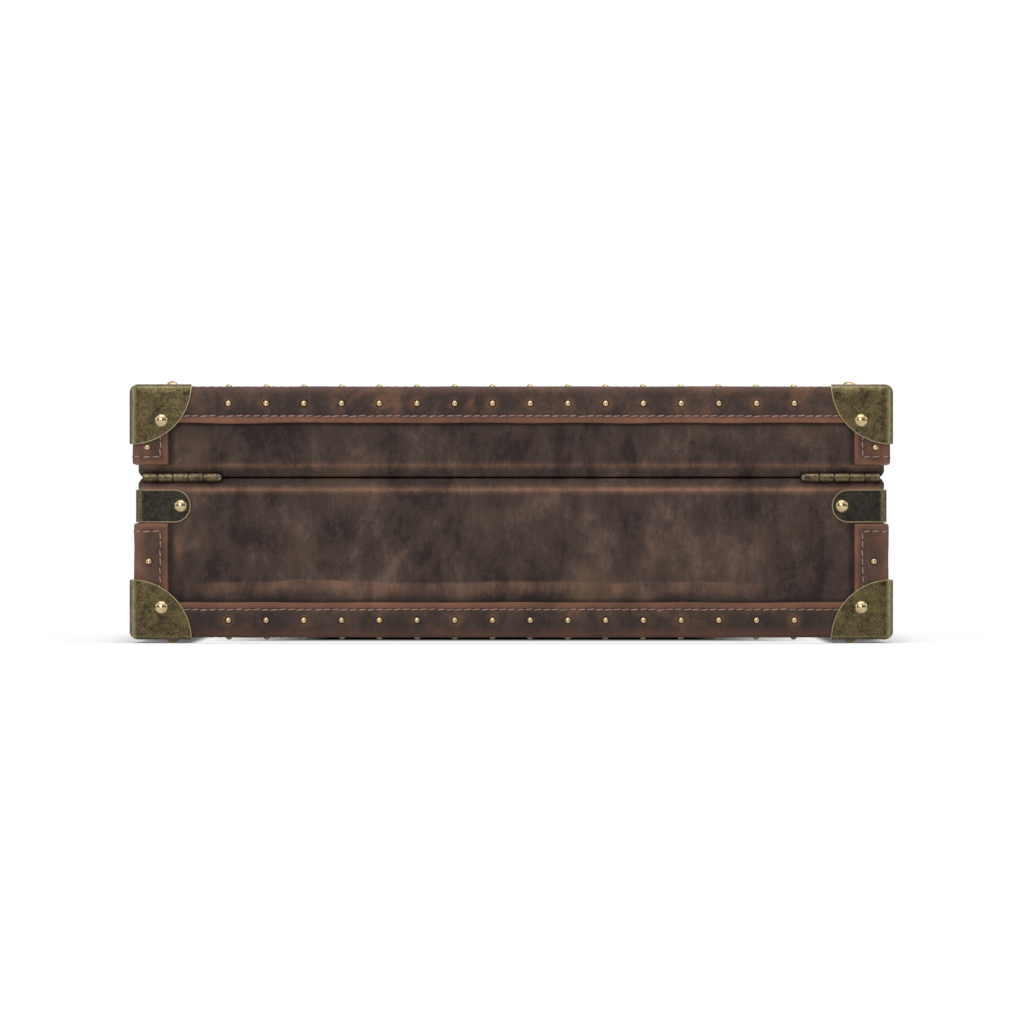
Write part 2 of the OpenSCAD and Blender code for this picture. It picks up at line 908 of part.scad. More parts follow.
module lock_rivet_places() {
    for (x = sides, i = sides)
        face_out([x * latch_x + i * lock_rivet_x, -body_y - lock_d, lock_z + lock_rivet_z], "front")
            children();
}

module keeper_rivet_places() {
    for (x = sides, i = sides)
        face_out([x * latch_x + i * keeper_rivet_x, -body_y - keeper_t, keeper_z + keeper_rivet_z], "front")
            children();
}

module handle_rivet_places() {
    for (x = sides, i = sides)
        face_out([x * handle_w / 2 + i * mount_rivet_x, -body_y - plate_t, pivot_z], "front")
            children();
}

// The rivets of the lock cases and the handle mounts
module front_rivets() {
    seat()
        color(bright) {
            lock_rivet_places()
                small_rivet(lock_d);
            handle_rivet_places()
                small_rivet(plate_t);
        }
}

module keeper_rivets() {
    seat()
        color(bright)
            keeper_rivet_places()
                small_rivet(keeper_t);
}

// A lock case at side s: a block with a slot for the tongue, a channel for the bolt and a slot for its knob
module lock_case(s) {
    seat()
        color(brass)
            difference() {
                translate([s * latch_x, -body_y, lock_z])
                    rotate([90, 0, 0])
                        linear_extrude(lock_d)
                            translate([0, lock_h / 2])
                                rounded(lock_w / 2, lock_h / 2, lock_corner_r);
                translate([s * latch_x, tongue_y, lock_top])
                    cube([tongue_w + 2 * tongue_gap, tongue_t + 2 * tongue_gap, 2 * tongue_drop], center = true);
                latch_box(s, 0, bolt_rest + bolt_l + bolt_gap, tongue_t + 2 * bolt_gap, bolt_h + 2 * bolt_gap, 0);
                latch_box(s, knob_x - bolt_travel - knob_w / 2 - bolt_gap, knob_x + knob_w / 2 + bolt_gap,
                    lock_d, knob_w + 2 * bolt_gap, lock_d / 2);
                lock_rivet_places()
                    small_rivet_hole(lock_d);
            }
}

// A box of a latch, from x0 to x1 outwards of its middle, d thick and h tall, its middle out_y before the tongue's
module latch_box(s, x0, x1, d, h, out_y) {
    translate([s * latch_x + (s > 0 ? x0 : -x1), tongue_y - out_y - d / 2, bolt_z - h / 2])
        cube([x1 - x0, d, h]);
}

// A sliding bolt and its knob, drawn back
module bolt(s) {
    seat()
        color(bright) {
            latch_box(s, bolt_rest, bolt_rest + bolt_l, tongue_t, bolt_h, 0);
            latch_box(s, knob_x - knob_w / 2, knob_x + knob_w / 2, knob_reach, knob_w, knob_reach / 2);
            translate([s * (latch_x + knob_x), -body_y - lock_d - bolt_gap, bolt_z])
                rotate([90, 0, 0])
                    cylinder(h = knob_t, r = knob_r);
        }
}

// A keeper on the lid: a plate, a step that stands out from it and a tongue with a notch for the bolt
module keeper(s) {
    seat()
        color(brass)
            difference() {
                union() {
                    translate([s * latch_x, -body_y, keeper_z])
                        rotate([90, 0, 0])
                            linear_extrude(keeper_t)
                                translate([0, keeper_h / 2])
                                    rounded(keeper_w / 2, keeper_h / 2, lock_corner_r);
                    translate([s * latch_x - tongue_w / 2, tongue_y - tongue_t / 2, keeper_z])
                        cube([tongue_w, -body_y - tongue_y + tongue_t / 2, keeper_step_h]);
                    translate([s * latch_x - tongue_w / 2, tongue_y - tongue_t / 2, parting_z - tongue_l])
                        cube([tongue_w, tongue_t, keeper_z + keeper_step_h - parting_z + tongue_l]);
                }
                latch_box(s, tongue_w / 2 - bolt_bite - bolt_gap, tongue_w, tongue_t + 1, notch_h, 0);
                keeper_rivet_places()
                    small_rivet_hole(keeper_t);
            }
}

// The handle's mounts: each is a plate with two ears that hold the pivot pin
module handle_mounts() {
    seat()
        color(brass)
            for (s = sides)
                handle_mount(s);
}

module handle_mount(s) {
    difference() {
        union() {
            translate([s * handle_w / 2, -body_y, pivot_z])
                rotate([90, 0, 0])
                    linear_extrude(plate_t)
                        rounded(plate_w / 2, plate_h / 2, lock_corner_r);
            for (i = sides)
                translate([s * handle_w / 2 + i * ear_x - ear_t / 2, -body_y - handle_out, pivot_z])
                    rotate([90, 0, 90])
                        linear_extrude(ear_t) {
                            circle(eye_r);
                            translate([0, -eye_r])
                                square([handle_out, 2 * eye_r]);
                        }
        }
        pivot_line(s, pivot_r, plate_w);
        handle_rivet_places()
            small_rivet_hole(plate_t);
    }
}

// A cylinder on a pivot, r in radius and l long
module pivot_line(s, r, l) {
    translate([s * handle_w / 2 - l / 2, -body_y - handle_out, pivot_z])
        rotate([0, 90, 0])
            cylinder(h = l, r = r);
}

module handle_pins() {
    seat()
        color(bright)
            for (s = sides)
                pivot_line(s, pivot_r, 2 * ear_x + ear_t);
}

// The metal bail: an eye, an arm and a bend at each end of a bar
module handle_bail() {
    seat()
        color(brass)
            difference() {
                union() {
                    for (s = sides) {
                        pivot_line(s, eye_r, eye_w);
                        translate([s * handle_w / 2, -body_y - handle_out, pivot_z - handle_drop + bend_r])
                            cylinder(h = handle_drop - bend_r, r = bail_r);
                        translate([s * (handle_w / 2 - bend_r), -body_y - handle_out, pivot_z - handle_drop + bend_r])
                            mirror([s > 0 ? 0 : 1, 0, 0])
                                rotate([-90, 0, 0])
                                    bend();
                    }
                    translate([-handle_w / 2 + bend_r, -body_y - handle_out, pivot_z - handle_drop])
                        rotate([0, 90, 0])
                            cylinder(h = handle_w - 2 * bend_r, r = bail_r);
                }
                for (s = sides)
                    pivot_line(s, pivot_r + pivot_fit, eye_w + 1);
            }
}

// A quarter bend of the bail round its own middle
module bend() {
    rotate_extrude(angle = 90)
        translate([bend_r, 0])
            circle(bail_r);
}

// The leather grip: full in the middle and slimmer at its ends, round the bail's bar
module handle_grip() {
    steps = 24;
    seat()
        color(strip_leather)
            translate([0, -body_y - handle_out, pivot_z - handle_drop])
                rotate([0, 90, 0])
                    rotate_extrude()
                        polygon(concat(
                            [[bail_r, grip_l / 2], [bail_r, -grip_l / 2]],
                            [for (i = [0:steps])
                                let (u = 2 * i / steps - 1)
                                [grip_r - grip_slim * pow(abs(u), 2.5), u * grip_l / 2]]
                        ));
}

corner_names = ["rear_right", "rear_left", "front_right", "front_left"];

base_shell();
base_cover();
base_binding();
base_corner_strips();
base_nails();
for (i = [0:3]) {
    x = i % 2 == 0 ? 1 : -1;
    y = i < 2 ? 1 : -1;
    bracket(false, x, y);
    bracket(true, x, y);
}
base_bracket_rivets();
standing_rivets();
edge_clamps();
clamp_rivets();
base_lining();
row_dividers();
column_dividers();
hinge_leaf(1, false);  // base_hinge_leaf_right
hinge_leaf(-1, false);  // base_hinge_leaf_left
hinge_pins();
hinge_screws(false);  // base_hinge_screws
lock_case(1);  // lock_case_right
lock_case(-1);  // lock_case_left
bolt(1);  // bolt_right
bolt(-1);  // bolt_left
front_rivets();
handle_mounts();
handle_pins();
handle_bail();
handle_grip();
lid_shell();
lid_cover();
lid_binding();
lid_corner_strips();
lid_nails();
lid_bracket_rivets();
lid_lining();
lid_lining_board();
hinge_leaf(1, true);  // lid_hinge_leaf_right
hinge_leaf(-1, true);  // lid_hinge_leaf_left
hinge_screws(true);  // lid_hinge_screws
keeper(1);  // keeper_right
keeper(-1);  // keeper_left
keeper_rivets();
for (i = [1:2 * columns])
    cushion(i);
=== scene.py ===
"""Looks of a leather-covered watch display case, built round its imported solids."""

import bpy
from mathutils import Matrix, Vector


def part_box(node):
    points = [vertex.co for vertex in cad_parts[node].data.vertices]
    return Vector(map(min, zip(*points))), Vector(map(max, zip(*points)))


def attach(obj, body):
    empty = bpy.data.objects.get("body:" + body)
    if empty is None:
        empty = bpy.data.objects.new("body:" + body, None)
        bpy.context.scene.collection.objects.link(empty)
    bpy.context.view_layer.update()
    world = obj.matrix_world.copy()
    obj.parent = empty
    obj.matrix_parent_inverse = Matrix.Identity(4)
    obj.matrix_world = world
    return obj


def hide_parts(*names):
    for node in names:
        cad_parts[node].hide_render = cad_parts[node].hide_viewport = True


bl_info = {
    "name": "Watch display case looks",
    "version": (1, 0, 0),
    "blender": (4, 5, 0),
    "location": "3D View > Sidebar > Watch case",
    "description": "Leather, stitching, brass, linings and cushions for the display case",
    "category": "Object",
}

import math

import bmesh
import bpy
import numpy as np
from mathutils import Vector
from mathutils.bvhtree import BVHTree

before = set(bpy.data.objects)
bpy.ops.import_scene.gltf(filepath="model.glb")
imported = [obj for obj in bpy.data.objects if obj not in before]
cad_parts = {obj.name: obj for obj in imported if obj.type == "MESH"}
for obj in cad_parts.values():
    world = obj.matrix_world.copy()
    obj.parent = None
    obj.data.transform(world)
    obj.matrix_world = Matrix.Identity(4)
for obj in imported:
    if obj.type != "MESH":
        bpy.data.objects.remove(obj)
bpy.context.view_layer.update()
MM = 0.001

# Sizes of the solids that their boxes don't give
NAIL_PITCH = 18.8 * MM
NAIL_IN = 8.6 * MM
STRIP_NAIL_IN = 7.8 * MM
CLAMP_LENGTH = 27.6 * MM
HINGE_GAP = 0.3 * MM
LEAF_THICK = 1 * MM

# Sizes of the leather work and the cushions
CREASE_HEIGHT = 30.4 * MM
GRIP_TAPER = 2 * MM
SEAM_END = 22 * MM
SEAM_TURN = 2.5 * MM
STITCH_LEAN = math.radians(6)
THREAD_LIFT = 0.05 * MM
THREAD_WANDER = 0.09 * MM
PIPING_RADIUS = 0.85 * MM
FILL_START = 0.93

HALVES, FACES, SIDES = ("base", "lid"), ("rear", "front"), ("right", "left")
WHITE = (1.0, 1.0, 1.0)
FAR = 30 * MM
PICTURE_WIDTH = 0.5102


def tone(red, green, blue):
    """An sRGB colour of 0 to 255 as the linear colour that Blender works in."""
    share = np.array([red, green, blue]) / 255
    return tuple(np.where(share <= 0.04045, share / 12.92, ((share + 0.055) / 1.055) ** 2.4))


def tinted(colour, strength):
    """A colour made darker or brighter."""
    return [part * strength for part in colour]


def metres(text, about, default):
    """A length property, given in millimetres."""
    return bpy.props.FloatProperty(
        name=text, description=about, default=default * MM, min=0, max=50 * MM, unit="LENGTH", precision=5
    )


def colour(text, about, red, green, blue):
    """A colour property, given as sRGB of 0 to 255."""
    return bpy.props.FloatVectorProperty(
        name=text, description=about, default=tone(red, green, blue), size=3, min=0, max=1, subtype="COLOR"
    )


class CaseSizes(bpy.types.PropertyGroup):
    """Sizes of the leather work that the solids leave plain."""

    panel_swell: metres("Panel swell", "How far the cover swells and sinks between its edges", 0.22)
    crease_swell: metres("Crease swell", "How far the roll at the foot of the rear panel stands out", 0.55)
    rim_roundness: metres("Rim roundness", "How far the turned rim's edges are rounded", 1.5)
    cover_cell: metres("Cover cell", "Length of one mesh cell of the covers", 2.4)
    binding_cell: metres("Binding cell", "Length of one mesh cell of the bindings", 1.2)
    stitch_pitch: metres("Stitch pitch", "Distance between neighbouring stitches", 4.4)
    stitch_length: metres("Stitch length", "Length of the thread that shows between two holes", 4.1)
    thread_radius: metres("Thread radius", "Radius of the sewing thread", 0.32)
    lid_stitch_in: metres("Lid stitch line", "Distance of the lid's stitches from its binding's edge", 3.5)
    base_stitch_in: metres("Base stitch line", "Distance of the base's stitches from its binding's edge", 3.6)
    strip_stitch_in: metres("Strip stitch line", "Distance of the stitches from a corner strip's edges", 4.1)
    cushion_voxel: metres("Cushion voxel", "Voxel size that a cushion is remeshed with", 4.0)
    cushion_cap: metres("Cushion cap", "How far a point of a cushion may move as it is filled", 9.0)


class CaseColours(bpy.types.PropertyGroup):
    """Colours of the leather, metal, thread and fabric."""

    hide_dark: colour("Hide, dark", "Darkest brown of the cover", 38, 28, 25)
    hide_middle: colour("Hide, middle", "Usual brown of the cover", 63, 49, 43)
    hide_light: colour("Hide, light", "Rubbed brown of the cover", 98, 78, 67)
    hide_tan: colour("Hide, tan", "Tan clouds in the cover", 88, 68, 49)
    # This colour is also the painted highlight along the cover rim's crest
    hide_rub_and_highlight: colour("Hide, rubbed", "Reddish brown where an edge or crease is rubbed", 134, 97, 76)
    strap_dark: colour("Strap, dark", "Middle of the bindings and corner strips", 47, 35, 31)
    strap_light: colour("Strap, light", "Lighter mottles of the bindings and strips", 87, 65, 52)
    strap_edge: colour("Strap, edge", "Burnished edge of the bindings and strips", 127, 84, 62)
    thread: colour("Thread", "Sewing thread", 176, 138, 122)
    patina: colour("Patina", "Dark patina of the antique brass", 38, 33, 20)
    antique: colour("Antique brass", "Brass between the patina", 112, 99, 63)
    bright: colour("Bright brass", "Polished brass of rivets, nails and bolts", 222, 198, 152)
    bronze: colour("Dark bronze", "Edge clamps", 52, 48, 39)
    lining: colour("Lining", "Suede of the lining and the dividers", 176, 152, 118)
    cushion: colour("Cushion", "Suede of the cushions", 196, 176, 144)
    timber: colour("Timber", "Plywood of the boxes", 190, 152, 106)


def sizes():
    """The sizes as they are set in the scene."""
    return bpy.context.scene.watch_case_sizes


def colours():
    """The colours as they are set in the scene."""
    return bpy.context.scene.watch_case_colours


class Measures:
    """Sizes of the case read from the boxes of its solids, in metres."""

    def __init__(self):
        low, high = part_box("base_cover")
        self.half_x = (high.x - low.x) / 2
        self.half_y = (high.y - low.y) / 2
        self.mid_y = (high.y + low.y) / 2
        self.bottom, self.rim_low = low.z, high.z
        low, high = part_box("lid_cover")
        self.rim_high, self.top = low.z, high.z
        self.upright_r = 5 * MM
        self.bevel_d, self.bevel_h = 3 * MM, 5.6 * MM
        self.end_bevel_d, self.end_bevel_h = 1.6 * MM, 2.6 * MM
        self.leather = 1.3 * MM
        self.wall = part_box("base_lining")[0].x + self.half_x
        self.bands = {half: self.band(half) for half in HALVES}
        low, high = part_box("base_hinge_leaf_right")
        self.hinge_x, self.hinge_half = (low.x + high.x) / 2, (high.x - low.x) / 2
        self.leaf_in = self.mid_y + self.half_y - low.y

    def band(self, half):
        """The sizes of one half's binding, with its seam, its nails and its corner strips' ends."""
        low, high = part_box(half + "_binding")
        strip_low, strip_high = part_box(half + "_corner_strips")
        lid = half == "lid"
        return {
            "up": 1 if lid else -1,
            "rim": self.rim_high if lid else self.rim_low,
            "closed": self.top if lid else self.bottom,
            "side": high.x - self.half_x,
            "flat": high.z - self.top if lid else self.bottom - low.z,
            "width": high.z - low.z,
            "stitch_in": sizes().lid_stitch_in if lid else sizes().base_stitch_in,
            "nail_across": high.z - low.z - NAIL_IN,
            "long_nails": 7.5 * NAIL_PITCH,
            "short_nails": 4 * NAIL_PITCH,
            "strip_end": strip_low.z if lid else strip_high.z,
            "strip_start": low.z if lid else high.z,
            "strip_nail": strip_low.z + 8.9 * MM if lid else strip_high.z - 19.1 * MM,
        }


# Mesh work

def smooth_step(value, start, end):
    """0 before start and 1 after end, with a soft turn at both."""
    share = np.clip((np.asarray(value, float) - start) / (end - start), 0, 1)
    return share * share * (3 - 2 * share)


def hill(value, middle, width):
    """A bell of height 1 round middle that has fallen to about a third at width."""
    return np.exp(-(((np.asarray(value, float) - middle) / width) ** 2))


def quarter_round(inward, radius):
    """How full a sheet is at a distance inward from its edge that is rounded with a radius: 0 to 1."""
    return np.sqrt(np.clip(1 - (1 - np.clip(inward / radius, 0, 1)) ** 2, 0, 1))


def all_round(count):
    """Angles of a full turn."""
    return np.linspace(0, 2 * math.pi, count, endpoint=False)


def swell(points, length, seed, waves=9):
    """Soft unevenness from -1 to 1: the mean of sine waves of about that length, turned by the seed."""
    maker = np.random.default_rng(seed)
    way = maker.normal(size=(waves, 3))
    way /= np.linalg.norm(way, axis=1)[:, None]
    wave = maker.uniform(0.7, 1.5, waves) * 2 * math.pi / length
    start = maker.uniform(0, 2 * math.pi, waves)
    return np.sin(points @ (way * wave[:, None]).T + start).mean(-1) * 2.2


def grid_faces(rows, columns, round_rows=False, round_columns=False):
    """The four-sided faces of a grid of points, joined up end to end where it is round."""
    row, column = np.meshgrid(
        np.arange(rows if round_rows else rows - 1),
        np.arange(columns if round_columns else columns - 1),
        indexing="ij",
    )
    next_row, next_column = (row + 1) % rows, (column + 1) % columns
    return np.stack(
        [row * columns + column, row * columns + next_column,
         next_row * columns + next_column, next_row * columns + column], -1
    ).reshape(-1, 4)


def volume(points, faces):
    """Volume inside four-sided faces, negative where they point inwards."""
    a, b, c, d = (points[faces[:, k]] for k in range(4))
    return (np.einsum("ij,ij->i", a, np.cross(b, c)) + np.einsum("ij,ij->i", a, np.cross(c, d))).sum() / 6


def add_object(name, data):
    """Puts a mesh, a lamp or a camera into the scene."""
    item = bpy.data.objects.new(name, data)
    bpy.context.scene.collection.objects.link(item)
    return item


def make_piece(name, points, faces, values=None, weld=True):
    """A smooth mesh object from arrays of points and faces. Values are numbers kept at the points."""
    points = np.asarray(points, float).reshape(-1, 3)
    if volume(points, faces) < 0:
        faces = faces[:, ::-1]
    mesh = bpy.data.meshes.new(name)
    mesh.from_pydata(points.tolist(), [], faces.tolist())
    for key, value in (values or {}).items():
        layer = mesh.attributes.new(key, "FLOAT", "POINT")
        layer.data.foreach_set("value", np.asarray(value, np.float32).ravel())
    if weld:
        work = bmesh.new()
        work.from_mesh(mesh)
        bmesh.ops.remove_doubles(work, verts=work.verts, dist=2e-6)
        bmesh.ops.dissolve_degenerate(work, edges=work.edges, dist=1e-7)
        work.to_mesh(mesh)
        work.free()
    mesh.polygons.foreach_set("use_smooth", np.ones(len(mesh.polygons), bool))
    mesh.update()
    return add_object(name, mesh)


def make_sheet(name, points, values=None, round_rows=False):
    """A piece from a grid of points whose columns, or whose rows too, are joined up end to end."""
    return make_piece(name, points, grid_faces(*points.shape[:2], round_rows, True), values)


def finish_piece(piece, body, material, slot, *nodes):
    """Gives a piece its finish, its body and the nodes that it stands for."""
    piece.data.materials.clear()
    piece.data.materials.append(material)
    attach(piece, body)
    if nodes:
        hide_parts(*nodes)
    return piece


def soft_line(corners, radii, spacing, closed=False):
    """A line through corners, each turned by a quadratic curve that begins and ends its radius away."""
    corners = np.asarray(corners, float)
    count = len(corners)
    parts = []
    for k in range(count):
        here = corners[k]
        if not closed and k in (0, count - 1):
            parts.append(here[None])
            continue
        before, after = corners[k - 1], corners[(k + 1) % count]
        into = here + (before - here) / np.linalg.norm(before - here) * radii[k]
        away = here + (after - here) / np.linalg.norm(after - here) * radii[k]
        t = np.linspace(0, 1, max(2, int(radii[k] * 1.7 / spacing) + 3))[:, None]
        parts.append((1 - t) ** 2 * into + 2 * t * (1 - t) * here + t ** 2 * away)
    line = []
    for k, part in enumerate(parts):
        line.append(part)
        if k + 1 < count or closed:
            start, end = part[-1], parts[(k + 1) % count][0]
            steps = int(np.linalg.norm(end - start) / spacing)
            if steps > 1:
                t = np.linspace(0, 1, steps + 1)[1:-1, None]
                line.append(start + (end - start) * t)
    line = np.concatenate(line)
    keep = np.r_[True, np.linalg.norm(np.diff(line, axis=0), axis=1) > 1e-7]
    return line[keep]


class RoundPath:
    """The way round a box with round corners: every column's share of the half sizes and outward way."""

    def __init__(self, case, spacing, arc_steps=7):
        self.case = case
        long_t = np.linspace(-1, 1, int(2 * case.half_x / spacing), endpoint=False)
        short_t = np.linspace(-1, 1, int(2 * case.half_y / spacing), endpoint=False)
        share, out = [], []
        for k in range(4):
            turn = k * math.pi / 2
            side_t = short_t if k % 2 == 0 else long_t
            cosine, sine = round(math.cos(turn)), round(math.sin(turn))
            arc = turn + np.linspace(0, math.pi / 2, arc_steps)[:-1]
            share.append(np.stack([cosine - sine * side_t, sine + cosine * side_t], -1))
            share.append(np.tile([cosine - sine, sine + cosine], (len(arc), 1)))
            out.append(np.tile([cosine, sine], (len(side_t), 1)))
            out.append(np.stack([np.cos(arc), np.sin(arc)], -1))
        self.share, self.out = np.concatenate(share).astype(float), np.concatenate(out).astype(float)

    def place(self, inset, z):
        """Points of every row and column: the corner's middle, shared out along the side, plus the radius."""
        inset, z = np.asarray(inset, float)[:, None], np.asarray(z, float)[:, None]
        radius = np.maximum(self.case.upright_r - inset, 0.6 * MM)
        radius = np.minimum(radius, np.maximum(self.case.half_y - inset, 0))
        x = self.share[:, 0] * (self.case.half_x - inset - radius) + radius * self.out[:, 0]
        y = self.share[:, 1] * (self.case.half_y - inset - radius) + radius * self.out[:, 1]
        return np.stack([x, y + self.case.mid_y, np.broadcast_to(z, x.shape)], -1)

    def normals(self, inset, z, facing):
        """Outward directions of every row and column, from the profile's own slope. Facing is 1 or -1."""
        slope_in, slope_z = np.gradient(np.asarray(inset, float)), np.gradient(np.asarray(z, float))
        size = np.hypot(slope_in, slope_z) + 1e-12
        out, up = facing * slope_z / size, facing * slope_in / size
        return np.stack(
            [out[:, None] * self.out[:, 0], out[:, None] * self.out[:, 1],
             np.broadcast_to(up[:, None], (len(out), len(self.out)))], -1
        )


def scatter(shape, faces, middles, along, out, sizes_xyz):
    """Copies of one small shape: its x lies along, its z points out, and each copy is scaled by sizes_xyz."""
    side = np.cross(out, along)
    axes = np.stack([along, side, out], 1)
    points = np.einsum("nk,mkj->mnj", shape * np.asarray(sizes_xyz), axes) + middles[:, None]
    shift = np.arange(len(middles))[:, None, None] * len(shape)
    return points.reshape(-1, 3), (faces[None] + shift).reshape(-1, faces.shape[1])


def bead(rows=5, columns=6):
    """A closed lozenge along x: a half circle turned about x, whose ends sink by the square of x."""
    u = np.linspace(0, math.pi, rows)[:, None]
    v = all_round(columns)[None]
    x = -np.cos(u) + 0 * v
    fat = np.sin(u) ** 0.6
    points = np.stack([x, fat * np.cos(v), fat * np.sin(v) - 0.9 * x ** 2], -1).reshape(-1, 3)
    return points, grid_faces(rows, columns, round_columns=True)


def tube(line, radius, columns=8):
    """A round tube along a closed line: at each point a circle square to the line's own direction."""
    along = np.roll(line, -1, 0) - np.roll(line, 1, 0)
    along /= np.linalg.norm(along, axis=1)[:, None]
    aside = np.cross(along, [0.137, 0.291, 0.947])
    aside /= np.linalg.norm(aside, axis=1)[:, None]
    third = np.cross(along, aside)
    v = all_round(columns)[None, :, None]
    points = line[:, None] + radius * (aside[:, None] * np.cos(v) + third[:, None] * np.sin(v))
    return points.reshape(-1, 3), grid_faces(len(line), columns, round_rows=True, round_columns=True)


def join_arrays(parts):
    """Several pairs of points and faces as one pair."""
    points, faces, start = [], [], 0
    for p, f in parts:
        points.append(p)
        faces.append(f + start)
        start += len(p)
    return np.concatenate(points), np.concatenate(faces)


# Node work

class Bench:
    """Adds nodes to one tree and joins them. A value may be a number, a colour or another node's socket."""

    def __init__(self, tree):
        self.tree = tree

    def feed(self, socket, value):
        if isinstance(value, bpy.types.NodeSocket):
            self.tree.links.new(value, socket)
        elif value is not None:
            if socket.type == "RGBA" and len(value) == 3:
                value = (*value, 1)
            socket.default_value = value

    def add(self, kind, inputs=None, **settings):
        node = self.tree.nodes.new(kind)
        for key, value in settings.items():
            setattr(node, key, value)
        for key, value in (inputs or {}).items():
            self.feed(node.inputs[key], value)
        return node

    def result(self, kind, inputs=None, **settings):
        return self.add(kind, inputs, **settings).outputs[0]

    def math(self, operation, *values):
        return self.result("ShaderNodeMath", dict(enumerate(values)), operation=operation)

    def times(self, first, *others):
        for other in others:
            first = self.math("MULTIPLY", first, other)
        return first

    def plus(self, first, *others):
        for other in others:
            first = self.math("ADD", first, other)
        return first

    def minus(self, a, b):
        return self.math("SUBTRACT", a, b)

    def larger(self, first, *others):
        for other in others:
            first = self.math("MAXIMUM", first, other)
        return first

    def smaller(self, a, b):
        return self.math("MINIMUM", a, b)

    def line(self, value, slope, base):
        return self.math("MULTIPLY_ADD", value, slope, base)

    def sway(self, value, strength):
        """How far a noise lies from its middle of a half, times a strength."""
        return self.times(self.minus(value, 0.5), strength)

    def length(self, a, b):
        return self.math("SQRT", self.plus(self.times(a, a), self.times(b, b)))

    def split(self, vector):
        return self.add("ShaderNodeSeparateXYZ", {0: vector}).outputs

    def vector(self, operation, a, b=None, out=0):
        return self.add("ShaderNodeVectorMath", {0: a, 1: b}, operation=operation).outputs[out]

    def step(self, value, start, end, low=0.0, high=1.0):
        inputs = {0: value, 1: start, 2: end, 3: low, 4: high}
        return self.result("ShaderNodeMapRange", inputs, interpolation_type="SMOOTHSTEP")

    def mix(self, factor, a, b):
        return self.add("ShaderNodeMix", {0: factor, 6: a, 7: b}, data_type="RGBA").outputs[2]

    def noise(self, vector, scale, detail=3.0, roughness=0.55, twist=0.0):
        inputs = {"Vector": vector, "Scale": scale, "Detail": detail, "Roughness": roughness}
        return self.result("ShaderNodeTexNoise", {**inputs, "Distortion": twist})

    def cells(self, vector, scale):
        return self.result("ShaderNodeTexVoronoi", {"Vector": vector, "Scale": scale})

    def waves(self, vector, scale, twist, detail, direction):
        inputs = {"Vector": vector, "Scale": scale, "Distortion": twist, "Detail": detail}
        return self.add("ShaderNodeTexWave", inputs, bands_direction=direction).outputs[1]

    def stretch(self, vector, scale, turn=(0, 0, 0)):
        return self.result("ShaderNodeMapping", {"Vector": vector, "Scale": scale, "Rotation": turn})

    def place(self):
        return self.add("ShaderNodeTexCoord").outputs["Object"]

    def place_from(self, middle):
        """How far a place lies from a middle, along each axis."""
        return self.vector("ABSOLUTE", self.vector("SUBTRACT", self.place(), middle))

    def value_of(self, name):
        return self.add("ShaderNodeAttribute", attribute_name=name).outputs["Fac"]

    def bump(self, height, strength, distance, before=None):
        inputs = {"Height": height, "Strength": strength, "Distance": distance, "Normal": before}
        return self.result("ShaderNodeBump", inputs)


def once(maker):
    """Makes a thing the first time that it is asked for and hands out the same one after that."""
    made = []

    def get():
        if not made:
            made.append(maker())
        return made[0]

    return get


def new_group(name, setting, default, outputs):
    """A node group that turns a place and one setting into named numbers, with its bench and both ends."""
    tree = bpy.data.node_groups.new(name, "ShaderNodeTree")
    tree.interface.new_socket(name="Place", in_out="INPUT", socket_type="NodeSocketVector")
    socket = tree.interface.new_socket(name=setting, in_out="INPUT", socket_type="NodeSocketFloat")
    socket.default_value = default
    for key in outputs:
        tree.interface.new_socket(name=key, in_out="OUTPUT", socket_type="NodeSocketFloat")
    bench = Bench(tree)
    start = bench.add("NodeGroupInput").outputs
    return tree, bench, start["Place"], start[setting], bench.add("NodeGroupOutput").inputs


@once
def hide_group():
    """Pull-up hide: fibre streaks, wide clouds, small mottles, pores and fine scratches."""
    outputs = ("Streaks", "Clouds", "Mottle", "Pores", "Scratches")
    tree, b, place, streak_length, end = new_group("Pull-up hide", "Streak length", 0.2, outputs)
    bend = b.add("ShaderNodeTexNoise", {"Vector": place, "Scale": 30.0, "Detail": 1.0}).outputs[1]
    lean = b.vector("MULTIPLY", b.vector("SUBTRACT", bend, (0.5, 0.5, 0.5)), (0.012, 0.012, 0.012))
    long_way = b.add("ShaderNodeCombineXYZ", {0: 1.0, 1: 1.0, 2: streak_length}).outputs[0]
    fibre_place = b.vector("MULTIPLY", b.vector("ADD", place, lean), long_way)
    fine = b.noise(fibre_place, 900.0, 3.0, 0.7)
    broad = b.noise(fibre_place, 150.0, 5.0, 0.6, 0.4)
    b.feed(end["Streaks"], b.line(fine, 0.4, b.times(broad, 0.6)))
    b.feed(end["Clouds"], b.noise(place, 21.0, 4.0, 0.55, 0.3))
    cloudy = b.vector("ADD", b.vector("MULTIPLY", place, (1.0, 1.0, 0.72)), (0.31, 0.17, 0.05))
    b.feed(end["Mottle"], b.noise(cloudy, 66.0, 9.0, 0.68, 0.35))
    pore = b.step(b.cells(place, 1500.0), 0.0, 0.42)
    b.feed(end["Pores"], b.line(b.noise(place, 900.0, 3.0, 0.6), 0.6, b.times(pore, 0.4)))
    line_place = b.stretch(place, (1.0, 1.0, 0.09), (0.35, 0.5, 0.0))
    hair = b.math("ABSOLUTE", b.minus(b.noise(line_place, 260.0, 2.0, 0.5), 0.5))
    where = b.step(b.noise(place, 48.0, 2.0), 0.52, 0.66)
    b.feed(end["Scratches"], b.times(b.step(hair, 0.012, 0.0), where))
    return tree


